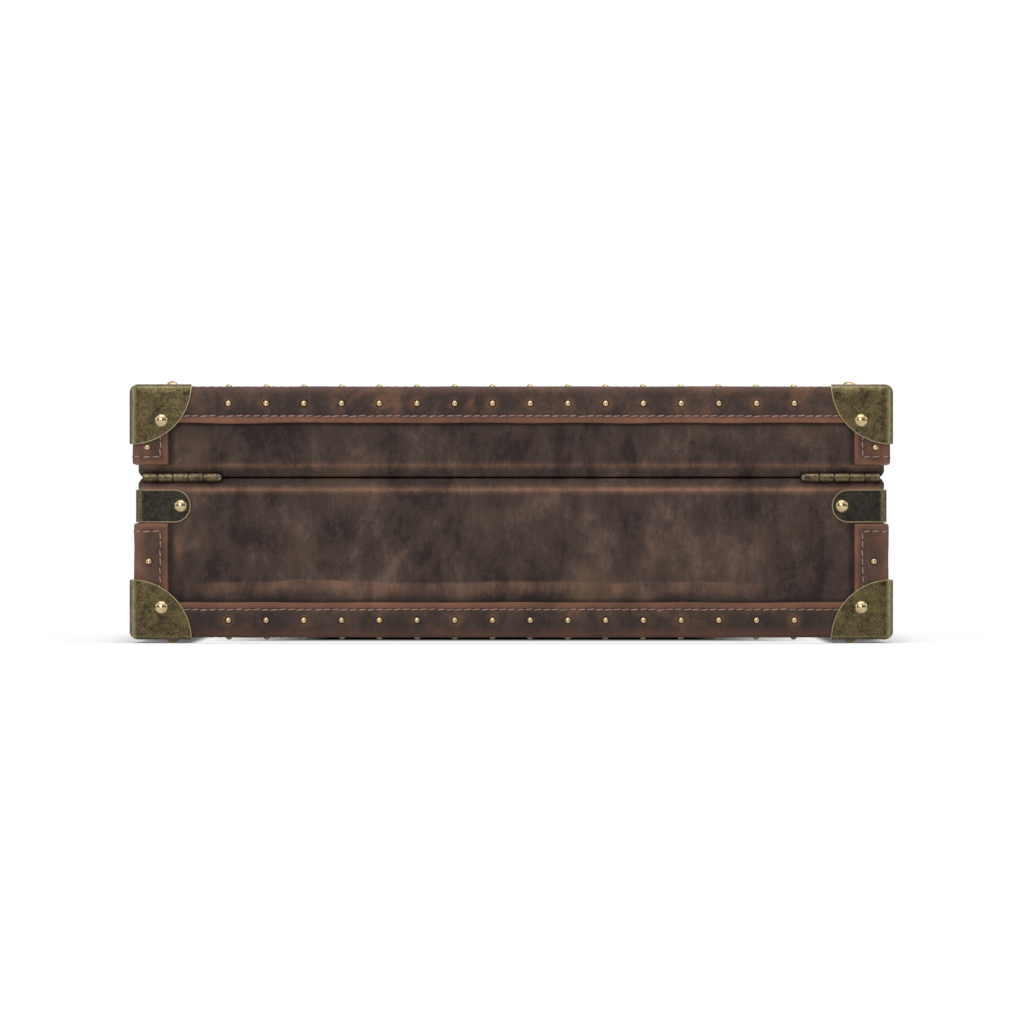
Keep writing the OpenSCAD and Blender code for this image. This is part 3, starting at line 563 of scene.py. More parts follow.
@once
def speckle_group():
    """Aged metal: coarse and fine specks, worn patches and pits, for brass and bronze."""
    outputs = ("Specks", "Patches", "Pits")
    tree, b, place, scale, end = new_group("Aged metal", "Scale", 1000.0, outputs)
    fine = b.noise(place, scale, 4.0, 0.72)
    coarse = b.noise(place, b.times(scale, 0.3), 4.0, 0.65, 0.8)
    b.feed(end["Specks"], b.line(fine, 0.62, b.times(coarse, 0.38)))
    b.feed(end["Patches"], b.noise(place, b.times(scale, 0.085), 3.0, 0.6, 0.5))
    aside = b.vector("ADD", place, (0.2, 0.4, 0.1))
    b.feed(end["Pits"], b.noise(aside, b.times(scale, 0.7), 3.0, 0.7))
    return tree


@once
def suede_group():
    """Napped suede: short fibres, brushed patches and a fine nap."""
    tree, b, place, scale, end = new_group("Suede nap", "Scale", 900.0, ("Nap", "Brushed", "Fibre"))
    b.feed(end["Nap"], b.noise(place, scale, 5.0, 0.75))
    b.feed(end["Brushed"], b.noise(place, b.times(scale, 0.05), 3.0, 0.6, 1.1))
    brushed = b.stretch(place, (1.0, 0.25, 1.0), (0.2, 0.3, 0.6))
    b.feed(end["Fibre"], b.noise(brushed, b.times(scale, 1.6), 2.0, 0.6))
    return tree


def empty_bench(owner):
    """The bench of a material or a world whose own nodes are cleared away."""
    owner.use_nodes = True
    owner.node_tree.nodes.clear()
    return Bench(owner.node_tree)


def finish(metallic, specular, sheen=0.0):
    """Makes a material once, from a function that returns its colour, roughness and normal.

    Its plain numbers stand on the shader's own sockets.
    """
    def wrap(looks):
        @once
        def get():
            material = bpy.data.materials.new(looks.__name__)
            b = empty_bench(material)
            shader = b.add("ShaderNodeBsdfPrincipled", {"Metallic": metallic, "Specular IOR Level": specular,
                                                        "Sheen Weight": sheen, "Sheen Roughness": 0.5})
            for key, value in zip(("Base Color", "Roughness", "Normal"), looks(b, colours())):
                b.feed(shader.inputs[key], value)
            b.add("ShaderNodeOutputMaterial", {0: shader.outputs[0]})
            return material
        return get
    return wrap


def use_group(b, group, **values):
    """A node that runs a group with these values. Returns its outputs."""
    node = b.add("ShaderNodeGroup", node_tree=group)
    for key, value in values.items():
        b.feed(node.inputs[key.replace("_", " ")], value)
    return node.outputs


def hide_nodes(b, streak_length, grain_scale, shares, middle):
    """A hide's patterns, its lightness as a sum of their shares round a middle, and its height."""
    hide = use_group(b, hide_group(), Place=b.place(), Streak_length=streak_length)
    grain = b.noise(b.place(), grain_scale, 4.0, 0.75)
    patterns = (hide["Streaks"], hide["Mottle"], hide["Clouds"], grain)
    light = b.plus(*(b.sway(pattern, share) for pattern, share in zip(patterns, shares)), middle)
    return hide, light, b.plus(b.times(hide["Pores"], 0.5), b.times(hide["Streaks"], 0.6))


@finish(0.0, 0.2)
def cover_leather(b, c):
    """Dark chocolate pull-up hide with upright fibre streaks, tan clouds, reddish rubbed ridges, a painted
    highlight along the rim's crest and painted shade beside the binding and the strips.
    """
    hide, light, height = hide_nodes(b, 0.2, 1300.0, (1.1, 2.3, 1.5, 0.9), 0.5)
    base = b.mix(b.step(light, 0.1, 0.55), c.hide_dark, c.hide_middle)
    base = b.mix(b.step(light, 0.5, 1.15), base, c.hide_light)
    tan = b.step(b.minus(hide["Clouds"], b.times(hide["Mottle"], 0.35)), 0.36, 0.55, 0.0, 0.6)
    base = b.mix(tan, base, c.hide_tan)
    patchy = b.step(b.plus(hide["Streaks"], b.times(hide["Mottle"], 1.2)), 0.85, 1.3, 0.35, 1.0)
    # Rubbed wear, and along the rim's crest a painted highlight
    base = b.mix(b.times(b.value_of("rub"), patchy), base, c.hide_rub_and_highlight)
    base = b.mix(b.times(hide["Scratches"], 0.18), base, c.hide_light)
    base = b.mix(b.step(hide["Pores"], 0.42, 0.2, 0.0, 0.35), base, tinted(c.hide_dark, 0.5))
    # Painted shade beside the binding and the corner strips
    base = b.mix(b.times(b.value_of("shade"), 0.75), base, (0.008, 0.006, 0.005))
    return base, b.line(hide["Mottle"], 0.35, 0.45), b.bump(height, 0.4, 0.3 * MM)


def strap_nodes(b, c, dents):
    """Colour, roughness and normal of strap leather: dark, burnished at its edges, dented round nails, with a
    painted shadow round each nail and painted shade along the seams.
    """
    hide, light, height = hide_nodes(b, 0.45, 1500.0, (1.2, 1.9, 0.8, 0.9), 0.42)
    base = b.mix(b.step(light, 0.15, 1.0), c.strap_dark, c.strap_light)
    patches = b.noise(b.vector("ADD", b.place(), (0.7, 0.2, 0.4)), 38.0, 6.0, 0.7, 0.3)
    base = b.mix(b.step(patches, 0.52, 0.7, 0.0, 0.45), base, c.strap_edge)
    patchy = b.step(b.plus(hide["Mottle"], hide["Streaks"]), 0.62, 1.12, 0.55, 1.0)
    base = b.mix(b.times(b.value_of("rub"), patchy), base, c.strap_edge)
    normal = b.bump(height, 0.5, 0.35 * MM)
    if dents:
        away = b.length(b.value_of("nail_u"), b.value_of("nail_w"))
        worn = b.step(b.noise(b.vector("ADD", b.place(), (0.4, 0.1, 0.7)), 70.0, 3.0, 0.6), 0.42, 0.6)
        lip = b.times(b.step(away, 2 * MM, 2.3 * MM), b.step(away, 2.7 * MM, 2.4 * MM))
        pit_and_shadow = b.step(away, 1.5 * MM, 1.85 * MM)
        base = b.mix(b.times(lip, worn, 0.6), base, tinted(c.strap_edge, 1.2))
        halo = b.step(away, 5.6 * MM, 2.6 * MM)
        base = b.mix(b.times(halo, worn, 0.22), base, c.strap_edge)
        # Painted shadow: a dark ring where each nail's head meets the strap
        base = b.mix(b.line(pit_and_shadow, -0.8, 0.8), base, (0.010, 0.006, 0.004))
        groove_and_shade = b.step(b.math("ABSOLUTE", b.value_of("sewn")), 0.0, 1.1 * MM)
        shape = b.plus(b.times(pit_and_shadow, 0.7), b.times(lip, 0.3), b.times(groove_and_shade, 0.55))
        normal = b.bump(shape, 0.9, 0.4 * MM, normal)
        # Painted shade along the seam's groove
        base = b.mix(b.line(groove_and_shade, -0.35, 0.35), base, c.strap_dark)
    return base, b.line(hide["Mottle"], 0.35, 0.33), normal


@finish(0.0, 0.25)
def binding_leather(b, c):
    """Strap leather of the bindings and corner strips, with painted shade low down towards the floor."""
    base, roughness, normal = strap_nodes(b, c, dents=True)
    # Painted shade: the strap grows darker from 18 mm above the floor downwards
    dirt_and_shade = b.step(b.split(b.place())[2], 18 * MM, 6 * MM, 0.0, 0.4)
    return b.mix(dirt_and_shade, base, (0.012, 0.009, 0.008)), roughness, normal


@finish(0.0, 0.3)
def grip_leather(b, c):
    """Strap leather of the grip, rubbed smooth where the hand holds it."""
    return strap_nodes(b, c, dents=False)


def metal_nodes(b, dark, light, scale, share, pit_depth, gloss, edge=None, highlight_colour=None):
    """Colour, roughness and normal of specked and pitted metal, with a painted highlight where edge is 1."""
    metal = use_group(b, speckle_group(), Place=b.place(), Scale=scale)
    specks = b.plus(metal["Specks"], b.sway(metal["Patches"], 0.3))
    mask = b.step(specks, 0.5 - share, 0.5 + share)
    base = b.mix(mask, dark, light)
    rough = b.line(mask, gloss[0] - gloss[1], gloss[1])
    if edge is not None:
        base = b.mix(edge, base, highlight_colour)
        rough = b.line(edge, -0.12, rough)
    height = b.plus(b.times(metal["Pits"], 0.7), b.times(metal["Specks"], 0.5))
    return base, rough, b.bump(height, 0.6, pit_depth)


@finish(0.75, 0.5)
def bracket_brass(b, c):
    """Antique brass of the corner brackets, with painted highlights: a thin line along the arc's edge and
    bands along the rounded edges.
    """
    case = Measures()
    low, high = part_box("base_bracket_rear_right")[0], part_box("lid_bracket_rear_right")[1]
    half_z, mid_z = (high.z - low.z) / 2, (high.z + low.z) / 2
    half_y = high.y - case.mid_y
    place = b.place_from((0.0, case.mid_y, mid_z))
    from_corner = b.vector("SUBTRACT", place, (high.x - 1.3 * MM, half_y - 1.3 * MM, half_z))
    away = b.vector("LENGTH", from_corner, out=1)
    # Painted highlight: a thin pale line along the arc's edge
    line = b.step(away, 29.5 * MM, 29.8 * MM, 0.0, 0.7)
    outer = b.vector("SUBTRACT", (high.x, half_y, half_z), place)
    x, y, z = b.split(outer)
    # Painted highlights along the rounded edges, half as strong along the level ones
    upright = b.step(b.larger(x, y), 4.6 * MM, 0.8 * MM)
    level = [b.step(b.larger(one, z), 2.6 * MM, 0.6 * MM, 0.0, 0.5) for one in (x, y)]
    rubbed = b.larger(upright, *level)
    grain = b.step(b.noise(b.place(), 900.0, 3.0, 0.7), 0.3, 0.62, 0.35, 1.0)
    edge = b.larger(line, b.times(rubbed, grain, 0.85))
    return metal_nodes(b, c.patina, tinted(c.antique, 1.06), 1700.0, 0.14, 0.2 * MM, (0.36, 0.62), edge,
                       tone(190, 178, 136))


@finish(0.8, 0.5)
def antique_brass(b, c):
    """Antique brass of the lock cases, the keepers, the handle's mounts and its bail."""
    return metal_nodes(b, tinted(c.patina, 1.5), tinted(c.antique, 1.25), 1500.0, 0.2, 0.12 * MM, (0.3, 0.5))


@finish(0.8, 0.5)
def hinge_brass(b, c):
    """Antique brass of the hinges, with painted shade in the gaps between the knuckles and at the barrel's
    ends, and a painted highlight along the top of the barrel.
    """
    low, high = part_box("base_hinge_leaf_right")
    pin_low, pin_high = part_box("hinge_pins")
    middle, knuckle = abs(low.x + high.x) / 2, (high.x - low.x + HINGE_GAP) / 5
    x, y, z = b.split(b.place())
    along = b.math("DIVIDE", b.math("ABSOLUTE", b.minus(b.math("ABSOLUTE", x), middle)), knuckle)
    from_gap = b.times(b.math("ABSOLUTE", b.minus(b.math("FRACT", along), 0.5)), knuckle)
    axis_y, axis_z = (pin_low.y + pin_high.y) / 2, (pin_low.z + pin_high.z) / 2
    y_off, z_off = b.minus(y, axis_y), b.minus(z, axis_z)
    radius = b.length(y_off, z_off)
    # Painted shade in the thin gaps between the knuckles and at the barrel's ends
    gap_shade = b.times(b.step(from_gap, 0.5 * MM, 0.25 * MM), b.step(radius, 2.5 * MM, 2.3 * MM))
    grain = b.step(b.noise(b.place(), 700.0, 3.0, 0.7), 0.36, 0.66)
    # Painted highlight along the top of the barrel
    crest = b.times(b.step(z_off, 0.2 * MM, 1.2 * MM), grain, 0.5)
    light = (c.antique[0] * 1.05, c.antique[1] * 1.0, c.antique[2] * 1.25)
    base, roughness, normal = metal_nodes(b, tinted(c.patina, 1.1), light, 1100.0, 0.14, 0.1 * MM, (0.3, 0.5),
                                          crest, tone(176, 158, 134))
    return b.mix(b.times(gap_shade, 0.94), base, (0.006, 0.005, 0.004)), roughness, normal


@finish(1.0, 0.5)
def pin_steel(b, c):
    """Tarnished steel of the hinge pins, whose round heads show beside the last knuckle."""
    return metal_nodes(b, tone(70, 66, 62), tone(150, 146, 140), 900.0, 0.25, 0.03 * MM, (0.16, 0.34))


@finish(1.0, 0.5)
def polished_brass(b, c):
    """Polished brass of rivets, nails, pins and bolts, with a few dull specks."""
    return metal_nodes(b, tinted(c.bright, 0.5), tinted(c.bright, 0.9), 620.0, 0.3, 0.02 * MM, (0.1, 0.22))


@finish(0.7, 0.5)
def dark_bronze(b, c):
    """Dark bronze of the edge clamps, with painted highlights: a brass-coloured line a little inside the edge
    and a band at the upright corner.
    """
    case = Measures()
    low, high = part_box("edge_clamps")
    height = (high.z - low.z) / 2
    x, y, z = b.split(b.place_from((0.0, case.mid_y, (low.z + high.z) / 2)))
    from_corner = b.larger(b.minus(high.x, x), b.minus(high.y - case.mid_y, y))
    past = b.larger(b.minus(from_corner, CLAMP_LENGTH - height), 0.0)
    # Painted highlight: a thin line a little inside the clamp's edge
    line = b.step(b.length(past, z), height - 0.6 * MM, height - 0.4 * MM, 0.0, 0.8)
    # Painted highlight along the upright corner
    corner = b.step(from_corner, 4.2 * MM, 2.2 * MM)
    grain = b.step(b.noise(b.place(), 900.0, 3.0, 0.7), 0.34, 0.64, 0.2, 1.0)
    line = b.larger(line, b.times(corner, grain, 0.5))
    return metal_nodes(b, tinted(c.bronze, 0.3), tinted(c.bronze, 1.3), 1300.0, 0.13, 0.16 * MM, (0.38, 0.6),
                       line, tone(165, 148, 110))


@finish(0.0, 0.3)
def plywood(b, c):
    """Plywood with grain along the case and thin darker layers."""
    place = b.place()
    grain = b.noise(b.stretch(place, (0.06, 1.0, 1.0)), 420.0, 5.0, 0.65, 0.4)
    layers = b.waves(place, 240.0, 2.0, 2.0, "Z")
    base = b.mix(b.step(grain, 0.3, 0.7), tinted(c.timber, 0.6), c.timber)
    base = b.mix(b.times(layers, 0.25), base, tinted(c.timber, 0.45))
    return base, b.line(grain, 0.2, 0.5), b.bump(grain, 0.4, 0.2 * MM)


def suede_nodes(b, hue, scale):
    """Colour, roughness and normal of suede with a brushed nap in the given colour."""
    nap = use_group(b, suede_group(), Place=b.place(), Scale=scale)
    value = b.plus(b.times(nap["Nap"], 0.5), b.times(nap["Fibre"], 0.5))
    base = b.mix(b.step(value, 0.34, 0.66), tinted(hue, 0.68), tinted(hue, 1.18))
    base = b.mix(b.step(nap["Brushed"], 0.42, 0.62, 0.0, 0.4), base, tinted(hue, 0.72))
    return base, b.line(value, 0.1, 0.85), b.bump(value, 0.55, 0.4 * MM)


@finish(0.0, 0.15, sheen=0.35)
def suede_lining(b, c):
    """Suede of the linings, the dividers, the lid's padded board and the cushions' piping."""
    return suede_nodes(b, tuple(c.lining), 1000.0)


@finish(0.0, 0.15, sheen=0.35)
def suede_cushion(b, c):
    """Suede of the cushions."""
    return suede_nodes(b, tuple(c.cushion), 850.0)


@finish(0.0, 0.35)
def thread(b, c):
    """Waxed two-ply thread: fine slanting ridges and a soft shine."""
    place = b.place()
    strand = b.waves(place, 620.0, 1.5, 1.0, "DIAGONAL")
    dirt_and_shade = b.noise(place, 160.0, 3.0, 0.6)
    base = b.mix(b.step(dirt_and_shade, 0.3, 0.6), tinted(c.thread, 0.6), c.thread)
    base = b.mix(b.line(strand, -0.3, 0.3), base, tinted(c.thread, 0.4))
    return base, b.line(strand, 0.15, 0.5), b.bump(strand, 0.4, 0.1 * MM)


# Leather covers

def crease(points, path):
    """The roll at the foot of the rear panel, and where it and a mark by the left strip are rubbed."""
    x, height = points[..., 0], points[..., 2]
    rear = path.out[None, :, 1] > 0.9
    along = points * [1, 0, 0]
    # The roll's crest wanders up and down along x, and its two ends fade out
    crest = CREASE_HEIGHT + 0.9 * MM * swell(along, 90 * MM, 21) + 0.35 * MM * swell(along, 23 * MM, 22)
    span = rear * smooth_step(x, -132 * MM, -96 * MM) * smooth_step(-x, -166 * MM, -146 * MM)
    roll = smooth_step(height, crest + 0.9 * MM, crest - 0.9 * MM) * smooth_step(height, 20.5 * MM, 28 * MM)
    fade = smooth_step(height, crest + 0.3 * MM, crest - 0.5 * MM)
    fade *= smooth_step(height, crest - 7.5 * MM, crest - 2.5 * MM)
    mark = hill(x, 166.3 * MM, 2.6 * MM) * hill(height, 46.4 * MM, 7 * MM) * rear
    return roll * span, np.maximum(0.8 * mark, 0.55 * fade * span * (0.7 + 0.5 * swell(points, 21 * MM, 23)))


def cover_points(case, half, path):
    """A cover as a profile carried round the case: over the turned rim, down the bevel and side, and in."""
    size, band = sizes(), case.bands[half]
    lid = half == "lid"
    rim = band["rim"]
    depth = abs(band["closed"] - rim)
    corners = [(case.wall, 1.2 * MM), (case.wall, 0), (case.bevel_d, 0), (0, case.bevel_h), (0, depth),
               (case.half_y, depth)]
    radii = [0, 0.5 * MM, 0.9 * MM, size.rim_roundness, 3 * MM, 0]
    line = soft_line(corners, radii, size.cover_cell * 2 / 3)
    inset, down = line.T
    # The middle of the closed face keeps only some of its rows
    fine_in, kept_row = (30 * MM, 3) if lid else (12 * MM, 4)
    kept = (down < depth - 1e-6) | (inset < fine_in) | (inset > case.half_y - 1e-6)
    kept |= np.arange(len(line)) % kept_row == 0
    inset, down = inset[kept], down[kept]
    if not lid:
        # Rows stand closer together at the crease
        close = rim - np.arange(33.0, 27.9, -0.5) * MM
        level = (inset < 1e-6) & (down > close[0] - 0.3 * MM) & (down < close[-1] + 0.3 * MM)
        first = int(np.argmax(level))
        inset, down = np.insert(inset[~level], first, 0 * close), np.insert(down[~level], first, close)
    z = rim + band["up"] * down
    points = path.place(inset, z)
    # Towards the ends the bevel is shallower: points on it move out by what the two bevels differ in depth
    side_depth = case.bevel_d * np.clip(1 - down / case.bevel_h, 0, 1)
    end_depth = case.end_bevel_d * np.clip(1 - down / case.end_bevel_h, 0, 1)
    outward = np.where(inset < case.bevel_d + 0.5 * MM, side_depth - end_depth, 0) * (down < case.bevel_h)
    points[..., 0] += outward[:, None] * path.out[None, :, 0]
    out = path.normals(inset, z, band["up"])
    # The profile runs from the rim to the closed face, so its slope turns over between lid and base
    out *= -1 if (out[len(out) // 3, :, :2] * path.out).sum() < 0 else 1
    down = down[:, None]
    uneven = swell(points, 62 * MM, 3 if lid else 5) + 0.45 * swell(points, 17 * MM, 8)
    lift = size.panel_swell * smooth_step(down, 7 * MM, 15 * MM) * uneven
    # Along the rim's crest the hide is lighter: rubbed wear with a painted highlight, half as strong on the
    # lid, whose crest faces down
    rub = hill(down, case.bevel_h + 0.1 * MM, 1.25 * MM) * (1.0 + 0.35 * swell(points, 34 * MM, 11))
    if lid:
        rub = rub * 0.5
    else:
        roll, worn = crease(points, path)
        lift = lift + size.crease_swell * roll
        rub = np.maximum(rub, worn)
    points = points + out * lift[..., None]
    # The rim is let down by a leaf's thickness where the hinge leaves lie
    leaf = np.abs(np.abs(points[..., 0]) - case.hinge_x) < case.hinge_half + HINGE_GAP
    leaf &= points[..., 1] > case.mid_y + case.half_y - case.leaf_in - HINGE_GAP
    points[..., 2] += np.where(leaf & (down < 1 * MM), band["up"] * LEAF_THICK, 0)
    # Painted shade along the binding's edge and the strips' edges, where they overhang the cover
    by_strip = np.zeros(points.shape[:2], bool)
    half_sizes = (case.half_x, case.half_y)
    for axis, middle in ((0, 0), (1, case.mid_y)):
        edge = half_sizes[axis] + band["side"] - band["width"]
        beside = np.abs(np.abs(points[..., axis] - middle) - edge) < 1.6 * MM
        by_strip |= beside & (np.abs(path.out[None, :, 1 - axis]) > 0.9)
    by_strip &= down > abs(band["strip_end"] - rim)
    shade = np.maximum(hill(down, abs(band["strip_start"] - rim), 1.3 * MM), 0.8 * by_strip)
    shade = shade * (down < depth - 3 * MM)
    return points, {"rub": np.clip(rub, 0, 1), "shade": shade}


def make_covers():
    case = Measures()
    path = RoundPath(case, sizes().cover_cell)
    for half in HALVES:
        points, values = cover_points(case, half, path)
        piece = make_sheet(half + "_leather_cover", points, values)
        thick = piece.modifiers.new("Thickness", "SOLIDIFY")
        thick.thickness = case.leather - 0.1 * MM
        thick.offset = -1
        finish_piece(piece, half, cover_leather(), "cover_leather", half + "_cover")


# Bindings, corner strips and their stitching

def nearest_nail(place, last, odd):
    """Distance from the nearest nail of a row, far away past its ends. An odd row has one in its middle."""
    shift = 0 if odd else 0.5
    near = (np.floor(place / NAIL_PITCH + (0.5 if odd else 0)) + shift) * NAIL_PITCH
    return np.where(np.abs(near) <= last + 1e-6, np.abs(place - near), FAR)


def binding_points(case, half, path):
    """A binding as a closed profile carried round the case: upright strap, flat strap and hidden inside."""
    band, lid = case.bands[half], half == "lid"
    side, flat, width, stitch_in = band["side"], band["flat"], band["width"], band["stitch_in"]
    sink = 0.5 * MM
    corners = [(sink, width - flat), (-side, width - flat), (-side, -flat), (width - side, -flat),
               (width - side, sink), (sink, sink)]
    radii = [0.1 * MM, 0.8 * MM, 4 * MM, 0.8 * MM, 0.1 * MM, 2.5 * MM]
    line = soft_line(corners, radii, 0.85 * MM, closed=True)
    inset, up = line.T
    points = path.place(inset, band["closed"] - band["up"] * up)
    on_side = ((inset < -side * 0.5) & (up > 0))[:, None]
    on_flat = ((up < -flat * 0.5) & (inset > 0))[:, None]
    across = np.where(up < -flat * 0.5, width - side - inset, np.minimum(width - flat - up, width))[:, None]
    shown = ((inset < -side * 0.4) | (up < -flat * 0.4))[:, None] * 1.0
    near = hill(across, 0, 2.5 * MM) * shown
    points[..., 2] += 0.28 * MM * swell(points, 45 * MM, 31 if lid else 32) * near * on_side
    x, y = points[..., 0], points[..., 1] - case.mid_y
    nail_u = np.where(np.abs(path.out[:, 1]) > 0.99, nearest_nail(x, band["long_nails"], False), FAR)
    nail_u = np.where(np.abs(path.out[:, 0]) > 0.99, nearest_nail(y, band["short_nails"], True), nail_u)
    # The strap dips in a ring round each nail and along its seam, and bulges a little between them
    from_nail = np.hypot(nail_u, across - band["nail_across"])
    dip = 0.2 * MM * hill(from_nail, 1.8 * MM, 0.7 * MM) + 0.22 * MM * hill(across, stitch_in, 0.8 * MM)
    lift = shown * (0.14 * MM * swell(points, 26 * MM, 33) - dip)
    points[..., :2] += path.out[None] * (lift * on_side)[..., None]
    points[..., 2] += lift * on_flat * band["up"]
    bend = hill(np.hypot(inset + side, up + flat), 0, 3.6 * MM)[:, None]
    rub = np.maximum(0.95 * smooth_step(across, 3.6 * MM, 2.2 * MM), (0.35 if lid else 0.75) * bend)
    rub = rub * shown * (0.8 + 0.3 * swell(points, 30 * MM, 34))
    ones = np.ones(points.shape[:2])
    return points, {
        "rub": np.clip(rub, 0, 1),
        "nail_u": nail_u,
        "nail_w": (across - band["nail_across"]) * ones,
        "sewn": (across - stitch_in) * ones,
    }


def corner_strip(case, half, sign_x, sign_y):
    """A corner strip: a band bent round the upright corner that thins out in a quarter round at its edges."""
    band = case.bands[half]
    side = band["side"]
    radius = case.upright_r + side
    straight = band["width"] - radius
    arc = radius * math.pi / 2
    whole = 2 * straight + arc
    # Rows and columns stand closer together at the rounded edges
    steps, first = np.array([0, 0.12, 0.35, 0.7]) * MM, 1.1 * MM
    s = np.concatenate([steps, np.linspace(first, whole - first, 34), whole - steps[::-1]])
    length = abs(band["strip_end"] - band["strip_start"]) + 1 * MM
    s, h = np.meshgrid(s, np.concatenate([steps, np.linspace(first, length, 26)]), indexing="ij")
    edge = np.minimum(np.minimum(s, whole - s), h)
    fat = quarter_round(edge, 1 * MM)
    angle = np.clip((s - straight) / arc, 0, 1) * math.pi / 2
    run_a, run_b = np.clip(straight - s, 0, None), np.clip(s - straight - arc, 0, None)
    out = np.stack([np.sin(angle), np.cos(angle)], -1)
    core = np.stack([case.half_x + side - radius - run_a, case.half_y + side - radius - run_b], -1)
    wave = np.stack([s, h, 0 * s], -1) + [sign_x * 0.3, sign_y * 0.2, 0]
    lift = 0.12 * MM * swell(wave, 16 * MM, 41) * (edge > 1.2 * MM)
    z = band["strip_end"] + band["up"] * h
    z = z + 0.25 * MM * swell(wave * [1, 0, 1], 14 * MM, 42) * hill(h, 0, 4 * MM)
    sunk = -0.3 * MM

    def sheet(offset):
        flat = core + out * (radius - side + offset)[..., None]
        return np.stack([sign_x * flat[..., 0], case.mid_y + sign_y * flat[..., 1], z], -1)

    def both(value):
        return np.concatenate([value, value[:, ::-1]], 1)

    outer = sheet(side * fat + lift + (1 - fat) * sunk)
    inner = sheet(np.full(s.shape, sunk))
    from_corner = case.half_x + side - np.abs(outer[..., 0])
    rub = np.maximum(0.9 * hill(edge, 0, 2.2 * MM), 0.55 * hill(s, straight + arc / 2, 4.5 * MM)) + 0.1
    return np.concatenate([outer, inner[:, ::-1]], 1), {
        "rub": both(np.clip(rub * (0.85 + 0.3 * swell(wave, 20 * MM, 43)), 0, 1)),
        "nail_u": both(np.where(s < straight + arc * 0.3, from_corner - STRIP_NAIL_IN, FAR)),
        "nail_w": both(z - band["strip_nail"]),
        "sewn": both(edge - sizes().strip_stitch_in),
    }


def make_bindings():
    case = Measures()
    path = RoundPath(case, sizes().binding_cell, 9)
    for half in HALVES:
        points, values = binding_points(case, half, path)
        piece = make_sheet(half + "_leather_binding", points, values, round_rows=True)
        finish_piece(piece, half, binding_leather(), "binding_leather", half + "_binding")


def make_corner_strips():
    case = Measures()
    for half in HALVES:
        parts, kept = [], {}
        for sign_x in (1, -1):
            for sign_y in (1, -1):
                points, values = corner_strip(case, half, sign_x, sign_y)
                faces = grid_faces(*points.shape[:2], round_columns=True)
                flat = points.reshape(-1, 3)
                if volume(flat, faces) < 0:
                    faces = faces[:, ::-1]
                parts.append((flat, faces))
                for key, value in values.items():
                    kept.setdefault(key, []).append(value.ravel())
        points, faces = join_arrays(parts)
        values = {key: np.concatenate(value) for key, value in kept.items()}
        piece = make_piece(half + "_leather_corner_strips", points, faces, values)
        finish_piece(piece, half, binding_leather(), "binding_leather", half + "_corner_strips")


def row_of(start, end, pitch):
    """Places from start to end about a pitch apart, with half a pitch left at both ends."""
    count = max(1, round(abs(end - start) / pitch))
    return np.linspace(start, end, count, endpoint=False) + (end - start) / count / 2


def stitch_line(start, end, out, pitch):
    """Middles, directions and outward directions of leaning stitches between two points."""
    start, end, out = (np.asarray(v, float) for v in (start, end, out))
    length = np.linalg.norm(end - start)
    t = row_of(0, length, pitch)[:, None] / length
    way = (end - start) / length
    turned = way * math.cos(STITCH_LEAN) + np.cross(out, way) * math.sin(STITCH_LEAN)
    return start + (end - start) * t, np.tile(turned, (len(t), 1)), np.tile(out, (len(t), 1))


def sew(name, body, middles, ways, outs):
    """One stitch at every middle, as one piece."""
    size = sizes()
    shape, faces = bead()
    scale = (size.stitch_length / 2, size.thread_radius, size.thread_radius)
    piece = make_piece(name, *scatter(shape, faces, middles, ways, outs, scale), weld=False)
    finish_piece(piece, body, thread(), None)


def seams(case, half):
    """The seams of one half as their starts, ends and outward directions, measured from the case's middle."""
    band, size = case.bands[half], sizes()
    up, edge = band["up"], band["side"] - band["width"]
    halves = np.array([case.half_x, case.half_y])
    face = halves + band["side"] + THREAD_LIFT
    side_end, side_z = halves - SEAM_END, band["strip_start"] + up * band["stitch_in"]
    flat_end, flat_z = halves + edge + band["stitch_in"], band["closed"] + up * (band["flat"] + THREAD_LIFT)
    strip_edge, corner = halves + edge + size.strip_stitch_in, halves - SEAM_TURN
    start, end = band["strip_start"] - up * 0.6 * MM, band["strip_end"] + up * size.strip_stitch_in
    found = []

    def add(axis, out, *ends):
        """One seam as on a side along x, turned where the side runs along y."""
        found.append([(x, y, z) if axis == 0 else (y, x, z) for x, y, z in (*ends, out)])

    for sign in (1, -1):
        for axis in (0, 1):
            far = sign * face[1 - axis]
            add(axis, (0, sign, 0), (-side_end[axis], far, side_z), (side_end[axis], far, side_z))
        for axis in (0, 1):
            far = sign * flat_end[1 - axis]
            add(axis, (0, 0, up), (-flat_end[axis], far, flat_z), (flat_end[axis], far, flat_z))
        for other in (1, -1):
            for axis in (0, 1):
                far, near = sign * face[1 - axis], other * strip_edge[axis]
                add(axis, (0, sign, 0), (near, far, end), (near, far, start))
                add(axis, (0, sign, 0), (near, far, end), (other * corner[axis], far, end))
            # One stitch runs round the upright corner
            out = np.array([sign, other, 0]) / math.sqrt(2)
            core = (halves - case.upright_r) * (sign, other)
            middle = np.array([*core, end]) + out * (case.upright_r + band["side"] + THREAD_LIFT)
            along = np.array([-out[1], out[0], 0]) * size.stitch_pitch / 2
            add(0, out, middle - along, middle + along)
    return found


def make_stitching():
    """Rows of slanting stitches on the bindings' upright and flat straps and along the strips' free edges."""
    case = Measures()
    for half in HALVES:
        found = [stitch_line(*seam, sizes().stitch_pitch) for seam in seams(case, half)]
        middles, ways, outs = (np.concatenate(part) for part in zip(*found))
        middles[:, 1] += case.mid_y
        maker = np.random.default_rng(61 if half == "lid" else 62)
        middles = middles + maker.normal(0, THREAD_WANDER, middles.shape) * (1 - np.abs(outs))
        sew(half + "_stitching", half, middles, ways, outs)


# Handle

